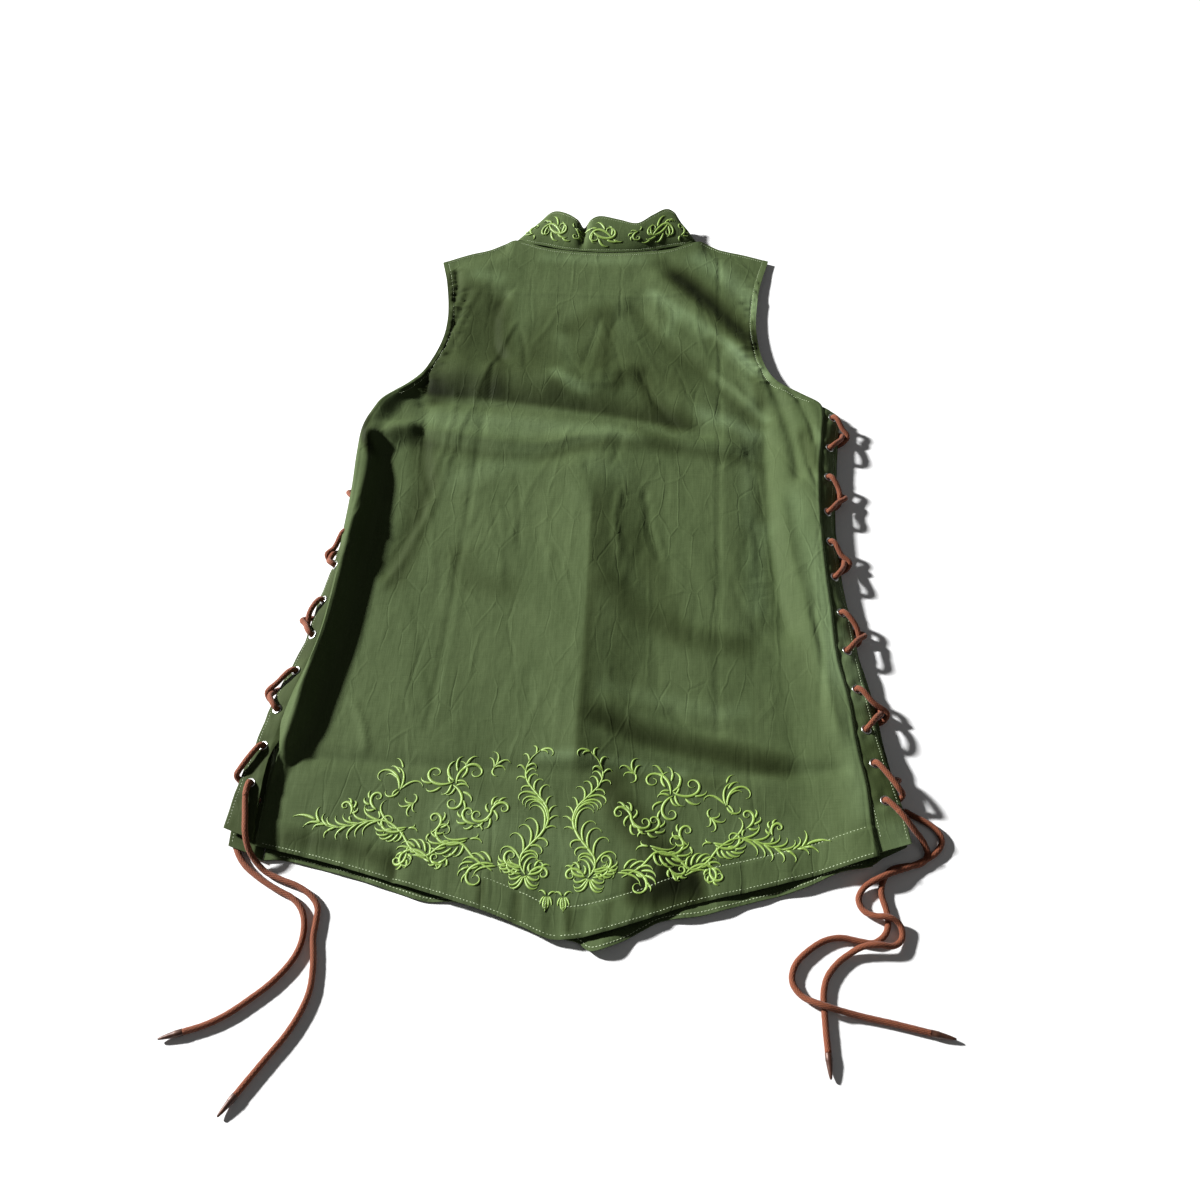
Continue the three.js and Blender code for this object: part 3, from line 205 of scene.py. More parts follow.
# Painted light and shade of the back, laid over the shading of its folds: places along each,
# change of tone in doublings of light, widths on the left and right of its run, share of
# sharpness, fade of its ends
PAINTED_SHADING = [
    ([(-192, 604), (-120, 600), (-40, 592), (20, 584), (66, 576), (110, 566)],
     -1.4, 34, 8, 0.3, 20),
    ([(-200, 612), (-170, 600), (-140, 596)], -0.6, 20, 10, 0.2, 16),
    ([(-190, 560), (-120, 561), (-50, 556), (0, 552), (60, 550)], 0.5, 22, 24, 0, 30),
    ([(106, 588), (150, 572), (186, 558)], 0.8, 20, 18, 0, 20),
    ([(-215, 538), (-190, 528), (-150, 518), (-100, 512), (-50, 511), (-10, 526), (20, 535),
      (60, 534), (110, 528), (185, 516)], -0.5, 8, 16, 0.4, 20),
    ([(40, 560), (64, 544), (90, 530)], -0.6, 18, 18, 0, 20),
    ([(-228, 606), (-238, 582), (-246, 560), (-246, 540), (-240, 516), (-232, 500)],
     -2.2, 9, 8, 0, 20),
    ([(-158, 780), (-152, 700), (-154, 610)], -0.9, 50, 44, 0, 30),
    ([(-122, 756), (-118, 712), (-110, 650), (-112, 600)], -1.3, 24, 24, 0.2, 20),
    ([(-186, 800), (-188, 740), (-188, 640), (-178, 585)], -1.2, 26, 12, 0.2, 16),
    ([(-100, 650), (-20, 655), (50, 645), (110, 620)], -0.55, 76, 56, 0, 50),
    ([(-60, 740), (-72, 680), (-84, 620)], -0.35, 26, 26, 0, 30),
    ([(6, 750), (10, 700), (4, 640)], -0.75, 15, 15, 0.2, 24),
    ([(-50, 640), (-26, 616), (-6, 606)], 0.9, 16, 14, 0, 16),
    ([(-46, 700), (-36, 670), (-30, 640)], 0.45, 16, 16, 0, 16),
    ([(42, 650), (60, 606), (76, 580), (96, 562)], -0.8, 18, 18, 0.2, 18),
    ([(80, 808), (100, 788), (134, 750), (162, 712), (188, 686)], -2.3, 27, 26, 0, 30),
    ([(64, 830), (96, 800), (130, 760)], -0.6, 16, 26, 0, 20),
    ([(104, 842), (142, 808), (174, 770), (188, 735)], 0.9, 30, 22, 0, 20),
    ([(54, 776), (94, 742), (138, 698), (174, 662), (200, 640)], 0.8, 13, 24, 0.2, 20),
    ([(34, 752), (62, 708), (92, 676), (126, 646), (152, 616), (188, 570)], -0.5, 14, 26, 0.3, 20),
    ([(128, 648), (160, 612), (192, 578)], 0.7, 11, 14, 0.2, 10),
    ([(150, 700), (172, 650), (180, 600)], 0.4, 16, 16, 0, 16),
    ([(-80, 828), (0, 826), (50, 830)], 0.5, 18, 16, 0, 20),
    ([(-156, 796), (-118, 782)], 0.5, 22, 20, 0, 14),
    ([(-60, 512), (-110, 492), (-150, 470)], 0.4, 26, 26, 0, 30),
    ([(172, 560), (168, 500), (166, 430)], 0.45, 16, 16, 0, 20),
    ([(-6, 500), (40, 494)], 0.35, 26, 22, 0, 20),
    ([(7, 466), (8, 420), (9, 350), (9, 280), (8, 200), (7, 150)], -0.6, 90, 4, 0.3, 50),
    ([(26, 350), (26, 180)], 0.3, 18, 18, 0, 30),
    ([(20, 358), (60, 318), (110, 294), (170, 285)], -0.6, 22, 22, 0, 20),
    ([(50, 420), (80, 350), (96, 290)], -0.4, 26, 26, 0, 30),
    ([(-126, 390), (-112, 350), (-60, 340)], -0.4, 26, 26, 0, 20),
    ([(14, 206), (60, 188), (100, 178), (150, 169), (200, 160)], -1.5, 21, 14, 0, 30),
    ([(20, 236), (90, 224), (140, 214), (166, 220)], 0.4, 16, 14, 0, 16),
    ([(-30, 162), (20, 163), (110, 152)], 0.7, 9, 12, 0, 16),
    ([(40, 146), (90, 146), (140, 142)], -0.5, 12, 12, 0, 20),
    ([(34, 144), (50, 116), (64, 96), (84, 74), (104, 54)], -1.6, 24, 22, 0, 22),
    ([(60, 46), (90, 42), (122, 52)], -3.0, 30, 26, 0, 14),
    ([(0, 740), (-20, 720), (-40, 700)], -0.6, 22, 22, 0, 16),
    ([(-50, 622), (-40, 600)], -0.7, 18, 18, 0, 12),
    ([(30, 640), (20, 610)], -0.8, 14, 14, 0, 14),
    ([(126, 700), (140, 680)], -0.6, 14, 14, 0, 12),
    ([(176, 640), (186, 600)], -0.8, 10, 10, 0, 12),
    ([(225, 560), (240, 500)], -0.7, 14, 10, 0, 20), ([(78, 700), (88, 740)], 0.5, 14, 14, 0, 20),
    ([(-248, 72), (-190, 68), (-140, 52)], -0.9, 18, 16, 0.2, 16),
    ([(214, 480), (226, 400), (236, 330), (246, 240)], 0.6, 24, 24, 0, 40),
    ([(252, 560), (246, 400), (254, 260), (266, 110)], 0.5, 26, 26, 0, 20),
    ([(184, 440), (174, 390), (176, 325)], 0.6, 20, 22, 0, 20),
    ([(-180, 530), (-168, 470), (-174, 400), (-188, 340)], -1.0, 20, 24, 0, 30),
    ([(-168, 546), (-110, 542), (-60, 540)], 0.25, 14, 14, 0, 20),
    ([(-120, 104), (-50, 88), (10, 70), (24, 30)], 0.4, 38, 36, 0, 30),
    ([(120, 96), (170, 90), (210, 96)], 0.3, 26, 26, 0, 20),
    ([(-266, 210), (-252, 270), (-244, 370)], -0.9, 14, 13, 0.2, 30),
    ([(-144, 62), (-143, 40)], -1.2, 4, 5, 0, 6), ([(-66, 44), (-66, 22)], -0.9, 4, 5, 0, 6),
    ([(-34, 34), (-33, 10)], -0.8, 5, 6, 0, 6), ([(10, 24), (12, 2)], -0.8, 6, 8, 0, 6),
    ([(46, 30), (44, 8)], -0.6, 5, 5, 0, 6), ([(118, 58), (120, 36)], -0.7, 5, 6, 0, 6),
]
# Painted light and shade of the plackets, rows as in the back's table: the left one painted darker
# as shade, the right one painted lighter and darker along its length
PLACKET_PAINTED_SHADING = [
    ([(-292, 50), (-280, 150), (-262, 270), (-248, 350), (-240, 580)], -1.1, 60, 60, 0, 10),
    ([(-268, 300), (-270, 250)], -0.6, 40, 40, 0, 20),
    ([(262, 310), (275, 225)], 0.8, 40, 40, 0, 16),
    ([(284, 190), (290, 130)], -1.0, 40, 40, 0, 12),
    ([(296, 112), (298, 84)], 0.6, 40, 40, 0, 12),
]
# Left ridge: y, distance of its crest from the edge, height of the crest, distance of its foot
LEFT_RIDGE = [
    [50, 1.5, 8.7, 9], [115, 3, 10.8, 14], [135, 6, 14.5, 20], [150, 8, 19, 26],
    [165, 10, 23, 28], [185, 11, 26.3, 30], [210, 8, 28, 28], [250, 4, 28.6, 24],
    [300, 4, 29, 25], [350, 5, 29.5, 26], [400, 7, 30.5, 28], [450, 10, 29.5, 30],
    [480, 11, 28.5, 31], [500, 9, 26.8, 28], [520, 5, 24.4, 25], [535, 2, 22.2, 25],
    [548, 1, 20.6, 28], [566, 1, 20.2, 28], [579, 1, 19.2, 26], [590, 1, 17.2, 22],
    [600, 1, 14.7, 18], [612, 2, 12.6, 14], [640, 4, 10.4, 20], [670, 6, 9.2, 24],
    [815, 10, 6.5, 26],
]
# Creases of the hem band: x, half width and rise
BAND_CREASES = [
    [-146, 9, -0.9], [-128, 9, 0.8], [-66, 9, 0.9], [-36, 9, -0.7], [12, 9, 0.8], [52, 9, -0.8],
    [96, 9, 0.7], [128, 9, -0.9], [196, 9, 0.7], [-143, 5, -1.5], [-66, 5, -1.4],
    [-34, 5, -1.2], [8, 5, 1.1], [44, 5, -1.1], [118, 5, -1.3], [-190, 6, 0.9], [160, 5, -1.0],
    [-100, 5, 0.8], [80, 5, 0.9], [222, 5, -0.9], [-222, 6, -1.1], [-12, 5, 0.9], [24, 4.5, -0.9],
]

# Sides: outer edges of the plackets, drop of the back one, ends and levels of the eyelets

RIGHT_SIDE = {
    "sign": 1,
    "area": 0.0165,
    "back": [
        [79, 306], [120, 300], [145, 294], [174, 287], [209, 281], [246, 275], [283, 270],
        [323, 266], [358, 261], [400, 257], [444, 256], [498, 261], [548, 265], [590, 272],
    ],
    "front": [
        [79, 302], [110, 301], [145, 297.5], [174, 291], [209, 286], [246, 280], [283, 272],
        [323, 267], [358, 262], [400, 259], [444, 258], [498, 262], [548, 266], [590, 270],
    ],
    "drop": [[79, 3], [145, 3], [209, 5], [283, 7], [358, 8.5], [444, 9], [548, 8.5], [590, 8]],
    "overlap": [[79, 6], [590, 6]],
    "top": [597, 584],
    "bottom": [80, 93],
    "front_bottom": [77, 93],
    "eyelets": [580, 537, 497, 451, 413, 370, 328, 285, 243, 201, 167, 131],
}
LEFT_SIDE = {
    "sign": -1,
    "area": 0.0125,
    "back": [
        [66, 297], [98, 294], [132, 290], [157, 285], [180, 282], [209, 278], [238, 270],
        [271, 262], [315, 257], [365, 250], [400, 246], [430, 241], [498, 240], [548, 238],
        [590, 235],
    ],
    "front": [
        [55, 291], [98, 291], [132, 287], [157, 284], [180, 280], [209, 275], [238, 267],
        [271, 259], [315, 254], [365, 243], [400, 240], [444, 238], [590, 232],
    ],
    "drop": [
        [66, 3], [157, 4], [209, 7], [271, 9], [315, 10], [365, 13], [400, 12], [434, 6.5],
        [498, 4.2], [548, 2.7], [590, 1.5],
    ],
    "overlap": [[66, 0], [140, 0], [170, 6], [590, 6]],
    "top": [579, 573],
    "bottom": [66, 76],
    "front_bottom": [53, 63],
    "eyelets": [553, 513, 474, 434, 395, 354, 315, 275, 235, 193, 155, 118],
}

# Collar, seen from the back: x and y of its base, then x, y and z of its top edge

COLLAR_BACK = [
    [-106, 856.6, -80, 883, 17], [-92, 851.5, -71, 888, 24], [-74, 848.2, -61, 890, 26],
    [-55, 843.6, -47, 885, 26], [-39, 841.8, -35, 878, 23], [-29, 841.6, -28, 876, 13],
    [-20, 841.2, -20, 880, 23], [-6, 840.6, -8, 884, 26], [16, 842, 15, 880, 25],
    [40, 844.6, 37, 876, 24], [60, 849, 55, 889, 26], [78, 854.2, 71, 900, 27],
    [97, 859.5, 82, 898, 24], [107, 865.8, 88, 893, 17],
]
COLLAR_BASE_HEIGHT = 7.4
COLLAR_FOLD_HEIGHT = 3.85
COLLAR_UNDER_HEIGHT = 0.3
COLLAR_UNDER_RISE = 44.0
COLLAR_FRONT_SHARES = [0.02, 0.3, 0.58, 0.78, 0.9]
COLLAR_NARROWING = 0.86
COLLAR_SEAM = 2.0
COLLAR_FOLD = 3.5
COLLAR_ROWS = (3, 47)  # stitching, up from the base

# Free ends of the laces: x, y and z of given places along each

FREE_ENDS = {
    "right_back": [
        [293, 121, 22.6], [299, 114, 21.6], [307, 106, 16], [316, 98, 8], [320, 88, 3.2],
        [313, 79.5, 3], [300, 77, 3], [287, 73, 3], [279, 62, 3], [277, 50, 3],
        [280, 38, 3], [281, 27, 3],
        [278, 16, 3], [268, 8, 3], [257, 8.5, 3], [241, 11, 3], [227, 8, 3], [212, -2, 3],
        [201, -14, 3], [198, -28, 3], [206, -40, 4.6], [222, -47, 8.9], [240, -50.5, 5],
        [260, -54, 3], [278, -57, 3], [296, -60.5, 3], [309, -63, 3],
    ],
    "right_front": [
        [304, 128, 3], [312, 123.5, 3], [321, 119, 3], [330, 112, 3], [334, 102, 3],
        [328, 91, 3], [313, 81, 3], [296, 73, 5.6], [279, 65, 9], [263, 56, 4.6], [257, 45, 3],
        [261, 35, 3.4], [270, 30, 6.6], [281, 29, 9], [290.5, 23.5, 5.4], [291.5, 13, 3.6],
        [284, 5.5, 5.6], [270.5, 5, 9], [257, 3, 7.4], [246, -3, 3.4], [236, -11, 3], [227, -23, 3],
        [223.5, -36, 3], [223.5, -50, 3], [224, -66, 3], [225, -83, 3],
    ],
    "left_back": [
        [-281, 107, 22.8], [-279.5, 97, 22.4], [-277, 85, 22], [-274.5, 72, 21.5],
        [-271, 60, 16.5], [-264, 50, 8], [-254, 42, 3.4], [-239, 36, 3], [-225, 31.5, 3],
        [-212, 24, 3], [-204, 14, 3], [-203, 2, 3], [-203, -12, 3], [-200, -27, 3],
        [-198, -43, 3], [-198, -57, 3], [-202, -73, 3], [-210, -91, 3], [-223, -111, 3],
        [-234, -128, 3], [-241, -139, 3],
    ],
    "left_front": [
        [-288, 92, 3], [-290, 79, 3], [-285, 63, 3], [-275, 48.5, 3], [-258, 36, 3],
        [-241, 27, 3], [-226, 20, 3], [-216, 9, 3], [-212, -6, 3], [-213, -22, 3],
        [-219, -36, 3], [-231, -52, 3], [-246, -66, 3], [-262, -79, 3], [-278, -88, 3],
        [-294, -94, 3],
    ],
}

# Lookups and curves


def hermite(t: Reals, a: Reals, b: Reals, rise_a: Reals, rise_b: Reals) -> Array:
    """Smooth step from a to b as t goes from 0 to 1, with the rises given at both ends.

    Args:
        t: How far along.
        a: Value at 0.
        b: Value at 1.
        rise_a: Rise over the step as it stands at 0.
        rise_b: The same at 1.

    Returns:
        The value at t.
    """
    rest = 1 - t
    return (
        a * (1 + 2 * t) * rest * rest + rise_a * t * rest * rest
        + b * t * t * (3 - 2 * t) - rise_b * t * t * rest
    )


def along(table: Table, at: Reals, column: int = 1) -> Array:
    """Reads a table, whose rows start with a place, on a smooth curve through them.

    Args:
        table: Rows in rising order of place.
        at: Places to read.
        column: Which value of the rows is read.

    Returns:
        The value at each place.
    """
    rows = np.asarray(table, float)
    xs, vs = rows[:, 0], rows[:, column]
    before = np.r_[0, np.arange(len(xs) - 1)]
    after = np.r_[np.arange(1, len(xs)), len(xs) - 1]
    slopes = (vs[after] - vs[before]) / (xs[after] - xs[before])
    x = np.clip(np.asarray(at, float), xs[0], xs[-1])
    i = np.clip(np.searchsorted(xs, x, side="right") - 1, 0, len(xs) - 2)
    h = xs[i + 1] - xs[i]
    return hermite((x - xs[i]) / h, vs[i], vs[i + 1], slopes[i] * h, slopes[i + 1] * h)


def ease(a: float, b: float, x: Reals) -> Array:
    """Gives 0 below a, 1 above b and a smooth rise between."""
    t = np.clip((np.asarray(x, float) - a) / (b - a), 0, 1)
    return t * t * (3 - 2 * t)


def bump(half: float, x: Reals) -> Array:
    """Gives 1 at x = 0, falling smoothly to 0 at the half width."""
    return 1 - ease(0, half, np.abs(x))


def unit(vectors: Array) -> Array:
    """Vectors brought to the length 1."""
    return vectors / np.maximum(np.linalg.norm(vectors, axis=-1, keepdims=True), 1e-9)


def distances(line: Array) -> Array:
    """Distance of each place of a line from its start, along the line."""
    return np.r_[0, np.cumsum(np.linalg.norm(np.diff(line, axis=0), axis=1))]


def fold_shape(fold: Fold, x: Array, y: Array) -> Array:
    """Shape of one fold: 1 on its line, 0 beyond its widths and its ends.

    Args:
        fold: x and y of places along it, rise, widths on both sides, sharpness and fade.
        x: Places across.
        y: Places along.

    Returns:
        The fold's share at each place.
    """
    points, _, left, right, sharp, fade = fold
    line = np.reshape(points, (-1, 2))
    starts = distances(line)
    near = np.full(np.shape(x), FAR_AWAY)
    side, at = np.zeros(np.shape(x)), np.zeros(np.shape(x))
    for k, (start, step) in enumerate(zip(line, np.diff(line, axis=0))):
        length = np.linalg.norm(step)
        dx, dy = x - start[0], y - start[1]
        s = (dx * step[0] + dy * step[1]) / length
        off = (step[0] * dy - step[1] * dx) / length
        held = np.clip(s, 0 if k else -FAR_AWAY, length if k < len(line) - 2 else FAR_AWAY)
        far = np.hypot(off, s - held)
        closer = far < near
        near = np.where(closer, far, near)
        side = np.where(closer, off, side)
        at = np.where(closer, starts[k] + held, at)
    share = np.clip(near / np.where(side > 0, left, right), 0, 1)
    shape = sharp * (1 - share) ** 2 + (1 - sharp) * (1 - ease(0, 1, share))
    half, end = fade / 2, starts[-1]
    return shape * ease(-half, half, at) * (1 - ease(end - half, end + half, at))


def fold_heights(folds: Sequence[Fold], x: Array, y: Array) -> Array:
    """Sum of the folds' heights, each worked out only near its own line.

    Args:
        folds: Rows as in FOLDS.
        x: Places across.
        y: Places along.

    Returns:
        The sum at each place.
    """
    total = np.zeros(np.shape(x))
    for fold in folds:
        line = np.reshape(fold[0], (-1, 2))
        reach = max(fold[2], fold[3]) + fold[5]
        low, high = line.min(0) - reach, line.max(0) + reach
        near = (x > low[0]) & (x < high[0]) & (y > low[1]) & (y < high[1])
        if near.any():
            total[near] += fold[1] * fold_shape(fold, x[near], y[near])
    return total


def spline(points: Table, step: float, smooth: int = 0) -> Array:
    """Runs a centripetal curve through points and steps along it evenly.

    Args:
        points: Places that the curve passes.
        step: Distance between the steps.
        smooth: Rounds of evening out that follow.

    Returns:
        The places along the curve, both ends kept.
    """
    p = np.asarray(points, float)
    p = np.vstack([2 * p[0] - p[1], p, 2 * p[-1] - p[-2]])
    t = np.linspace(0, 1, 24, endpoint=False)[:, None]
    dense = []
    for a, b, c, d in zip(p[:-3], p[1:-2], p[2:-1], p[3:]):
        k = [max(math.sqrt(np.linalg.norm(v - u)), 1e-4) for u, v in ((a, b), (b, c), (c, d))]
        leave = ((b - a) / k[0] - (c - a) / (k[0] + k[1]) + (c - b) / k[1]) * k[1]
        reach = ((c - b) / k[1] - (d - b) / (k[1] + k[2]) + (d - c) / k[2]) * k[1]
        dense.append(hermite(t, b, c, leave, reach))
    return even(np.vstack([*dense, p[-2]]), step, smooth)


def even(line: Array, step: float, smooth: int = 0) -> Array:
    """Steps evenly along a line of places, after rounds of evening out.

    Args:
        line: Places along a line.
        step: Distance between the steps.
        smooth: Rounds of evening out.

    Returns:
        The new places, both ends kept.
    """
    for _ in range(smooth):
        line = np.vstack([line[0], (line[:-2] + 2 * line[1:-1] + line[2:]) / 4, line[-1]])
    far = distances(line)
    at = np.linspace(0, far[-1], max(3, int(round(far[-1] / step)) + 1))
    return np.stack([np.interp(at, far, line[:, k]) for k in range(line.shape[1])], 1)


# Meshes


def linked(name: str, data: bpy.types.ID) -> Piece:
    """Makes an object of some data and links it to the scene.

    Args:
        name: Name of the object.
        data: Its mesh, camera or light.

    Returns:
        The object.
    """
    item = bpy.data.objects.new(name, data)
    bpy.context.scene.collection.objects.link(item)
    return item


def new_piece(
    name: str, points: Array, faces: Sequence, uv: Array, by_corner: bool = False
) -> Piece:
    """Makes a smooth-shaded mesh piece with its flat places.

    Args:
        name: Name of the piece.
        points: Places in millimetres from the hem point.
        faces: Corners of each face.
        uv: Place of each point on the flat cloth, in metres.
        by_corner: Whether these are the places of the faces' corners instead.

    Returns:
        The new object, at the origin.
    """
    mesh = bpy.data.meshes.new(name)
    mesh.from_pydata(((points - MIDDLE) * MM).tolist(), [], list(map(list, faces)))
    mesh.polygons.foreach_set("use_smooth", np.ones(len(mesh.polygons), bool))
    if not by_corner:
        corners = np.empty(len(mesh.loops), int)
        mesh.loops.foreach_get("vertex_index", corners)
        uv = uv[corners]
    layer = mesh.uv_layers.new(name="cloth")
    layer.data.foreach_set("uv", uv.astype(np.float32).ravel())
    mesh.update()
    return linked(name, mesh)


def select_only(*pieces: Piece) -> None:
    """Selects these pieces and nothing else, and makes the first one active."""
    bpy.ops.object.select_all(action="DESELECT")
    for piece in pieces:
        piece.select_set(True)
    if pieces:
        bpy.context.view_layer.objects.active = pieces[0]


def join(pieces: Sequence[Piece]) -> Piece:
    """Joins pieces into the first one.

    Args:
        pieces: Pieces, of which the first stays.

    Returns:
        The first piece.
    """
    select_only(*pieces)
    bpy.ops.object.join()
    return pieces[0]


def round_off(piece: Piece, degrees: float) -> None:
    """Shades a piece smooth, apart from edges sharper than an angle."""
    select_only(piece)
    bpy.ops.object.shade_smooth_by_angle(angle=math.radians(degrees))


def set_copy(model: Piece, name: str, seat: Array, direction: Array) -> Piece:
    """Sets a copy of a model.

    Args:
        model: Model built along +Z from the origin, in metres.
        name: Name of the copy.
        seat: Where its origin goes, in millimetres from the hem point.
        direction: Where its +Z goes.

    Returns:
        The copy, with a mesh of its own.
    """
    piece = linked(name, model.data.copy())
    turn = Vector((0, 0, 1)).rotation_difference(Vector(direction).normalized())
    piece.data.transform(
        Matrix.Translation(Vector((seat - MIDDLE) * MM)) @ turn.to_matrix().to_4x4()
    )
    return piece


def cloth_shell(
    name: str, rows: Array, thickness: float, uv: Array, keep: Array | None = None
) -> Piece:
    """Makes a closed thin shell below a grid of places.

    Args:
        name: Name of the piece.
        rows: Upper face, rows up and columns to the right.
        thickness: Wall of the cloth.
        uv: Place of each point on the flat cloth, in metres.
        keep: Which cells of the grid are there, or None for all.

    Returns:
        The new piece.
    """
    r, c = rows.shape[:2]
    below = r * c
    normals = unit(np.cross(np.gradient(rows, axis=1), np.gradient(rows, axis=0)))
    points = np.vstack([rows.reshape(-1, 3), (rows - normals * thickness).reshape(-1, 3)])
    index = np.arange(below).reshape(r, c)
    cells = np.stack([index[:-1, :-1], index[:-1, 1:], index[1:, 1:], index[1:, :-1]], -1)
    cells = cells.reshape(-1, 4) if keep is None else cells[keep]
    edges = np.vstack([cells[:, [k, (k + 1) % 4]] for k in range(4)])
    met = np.isin(edges[:, 1] * below + edges[:, 0], edges[:, 0] * below + edges[:, 1])
    a, b = edges[~met].T
    faces = np.vstack([cells, cells[:, ::-1] + below, np.stack([b, a, a + below, b + below], 1)])
    used, renumbered = np.unique(faces, return_inverse=True)
    flat = np.tile(uv.reshape(-1, 2), (2, 1))[used]
    piece = new_piece(name, points[used], renumbered.reshape(faces.shape), flat)
    round_off(piece, 48)
    return piece


def shade_by(piece: Piece, shading_rows: Sequence[Fold]) -> None:
    """Writes painted light and shade at each point of a piece, as a change of tone from soft
    places.

    Args:
        piece: Piece of cloth.
        shading_rows: Rows as in PAINTED_SHADING.
    """
    places = np.array([v.co for v in piece.data.vertices]) / MM + MIDDLE
    tone = piece.data.attributes.new("tone", "FLOAT", "POINT")
    tone.data.foreach_set("value", fold_heights(shading_rows, places[:, 0], places[:, 1]).astype("f4"))


def flat_uv(rows: Array) -> Array:
    """Distances along a grid's rows and columns from its middle, in metres.

    Args:
        rows: Places of the grid.

    Returns:
        Flat place of each point.
    """
    steps = [np.diff(rows, axis=k, prepend=np.take(rows, [0], axis=k)) for k in (1, 0)]
    u, v = (np.cumsum(np.linalg.norm(s, axis=2), axis=k) for s, k in zip(steps, (1, 0)))
    middle = [rows.shape[1] // 2]
    return np.stack([u - u[:, middle], v[:, middle] + 0 * v], -1) * MM


def tube(name: str, line: Array, radius: Array, sides: int) -> Piece:
    """Makes a closed round tube along a line of places.

    Args:
        name: Name of the piece.
        line: Middle line.
        radius: Radius at each place of the line.
        sides: Sides of the section.

    Returns:
        The new piece, with the way round and the way along as its flat places.
    """
    tangent = unit(np.gradient(line, axis=0))
    side = np.cross(tangent[0], [0.0, 0.0, 1.0])
    if np.linalg.norm(side) < 0.1:
        side = np.array([1.0, 0.0, 0.0])
    a = (np.arange(sides) * 2 * math.pi / sides)[:, None]
    rings = []
    for p, r, t in zip(line, radius, tangent):
        side = unit(side - t * side.dot(t))
        rings.append(p + r * (np.cos(a) * side + np.sin(a) * np.cross(t, side)))
    last = (len(line) - 1) * sides
    i, k = np.divmod(np.arange(last), sides)
    low, on = i * sides, (k + 1) % sides
    walls = np.stack([low + k, low + on, low + sides + on, low + sides + k], 1)
    caps = []
    for j in range(sides):
        n = (j + 1) % sides
        caps += [(last + sides, n, j), (last + sides + 1, last + j, last + n)]
    around = np.stack([k, k + 1, k + 1, k], 1) / sides
    forward = (distances(line) * MM)[np.stack([i, i, i + 1, i + 1], 1)]
    uv = np.vstack([np.dstack([around, forward]).reshape(-1, 2), np.zeros((3 * len(caps), 2))])
    points = np.vstack([*rings, line[0], line[-1]])
    return new_piece(name, points, [*walls.tolist(), *caps], uv, True)


# Shader nodes


class Finish(Enum):
    """Finishes that the pieces take."""

    BODY = "body cloth"
    PLACKET = "placket cloth painted lighter"
    COLLAR = "collar cloth painted lighter"
    LACE = "braided lace"
    SATIN = "embroidery thread"
    STITCH = "sewing thread"
    NICKEL = "eyelet nickel"
    TIP = "lace tip"
    FLOOR = "studio floor"


@dataclass
class Shader:
    """Small helper that adds nodes to a tree and joins them."""

    tree: bpy.types.NodeTree

    def fill(self, node: bpy.types.Node, inputs: dict) -> None:
        """Sets or joins a node's named or numbered inputs.

        Args:
            node: Node to fill.
            inputs: Value or socket for each named or numbered input.
        """
        for key, value in inputs.items():
            if isinstance(value, Socket):
                self.tree.links.new(value, node.inputs[key])
            else:
                node.inputs[key].default_value = value

    def add(self, kind: str, inputs: dict | None = None, **settings) -> bpy.types.Node:
        """Adds a node.

        Args:
            kind: Type of the node.
            inputs: Value or socket for each named or numbered input.
            settings: Properties of the node.

        Returns:
            The new node.
        """
        node = self.tree.nodes.new(f"ShaderNode{kind}")
        for name, value in settings.items():
            setattr(node, name, value)
        self.fill(node, inputs or {})
        return node

    def math(self, operation: str, *values) -> Socket:
        """Adds a Math node."""
        return self.add("Math", dict(enumerate(values)), operation=operation).outputs[0]

    def times(self, a, b) -> Socket:
        """Multiplies two values."""
        return self.math("MULTIPLY", a, b)

    def plus(self, a, b) -> Socket:
        """Adds two values."""
        return self.math("ADD", a, b)

    def weigh(self, *parts: tuple[Socket, float]) -> Socket:
        """Adds up values, each times its weight."""
        total, *others = (self.times(*part) for part in parts)
        for other in others:
            total = self.plus(total, other)
        return total

    def mapped(self, vector: Socket, scale: Sequence[float], turn: float = 0.0) -> Socket:
        """Adds a Mapping node with a scale for each axis and a turn about Z."""
        inputs = {"Vector": vector, "Scale": scale, "Rotation": (0, 0, turn)}
        return self.add("Mapping", inputs).outputs[0]

    def noise(
        self, vector: Socket, scale: float | tuple, detail: float = 2.0, rough: float = 0.5,
        turn: float = 0.0,
    ) -> Socket:
        """Adds a Noise Texture, stretched and turned where its scale has three values.

        Args:
            vector: Places.
            scale: Scale, or one for each axis.
            detail: Its detail.
            rough: Its roughness.
            turn: Turn about Z, with three scales.

        Returns:
            The noise, from 0 to 1.
        """
        if isinstance(scale, tuple):
            vector, scale = self.mapped(vector, scale, turn), 1.0
        inputs = {"Vector": vector, "Scale": scale, "Detail": detail, "Roughness": rough}
        return self.add("TexNoise", inputs).outputs[0]

    def blend(self, share: Socket, low: Colour, high: Colour) -> Socket:
        """Mixes two colours by a share."""
        inputs = {0: share, 6: (*low, 1), 7: (*high, 1)}
        return self.add("Mix", inputs, data_type="RGBA").outputs[2]

    def ramp(self, value: Socket, low: float, high: float) -> Socket:
        """Spreads a value from low..high to 0..1."""
        inputs = {0: value, 1: low, 2: high, 3: 0.0, 4: 1.0}
        return self.add("MapRange", inputs, interpolation_type="SMOOTHSTEP").outputs[0]

    def bump(
        self, height: Socket, distance: float, strength: float, normal: Socket | None = None
    ) -> Socket:
        """Adds a Bump node, over another one's normal where that is given."""
        inputs = {"Height": height, "Distance": distance, "Strength": strength}
        return self.add("Bump", inputs | ({"Normal": normal} if normal else {})).outputs[0]

    def flat(self) -> Socket:
        """Adds the piece's own flat places."""
        return self.add("UVMap", uv_map="cloth").outputs[0]

    def group(self, name: str, flat: Socket) -> Sequence[Socket]:
        """Adds a shared group on the flat places, and gives its outputs."""
        return self.add("Group", {0: flat}, node_tree=bpy.data.node_groups[name]).outputs[:]


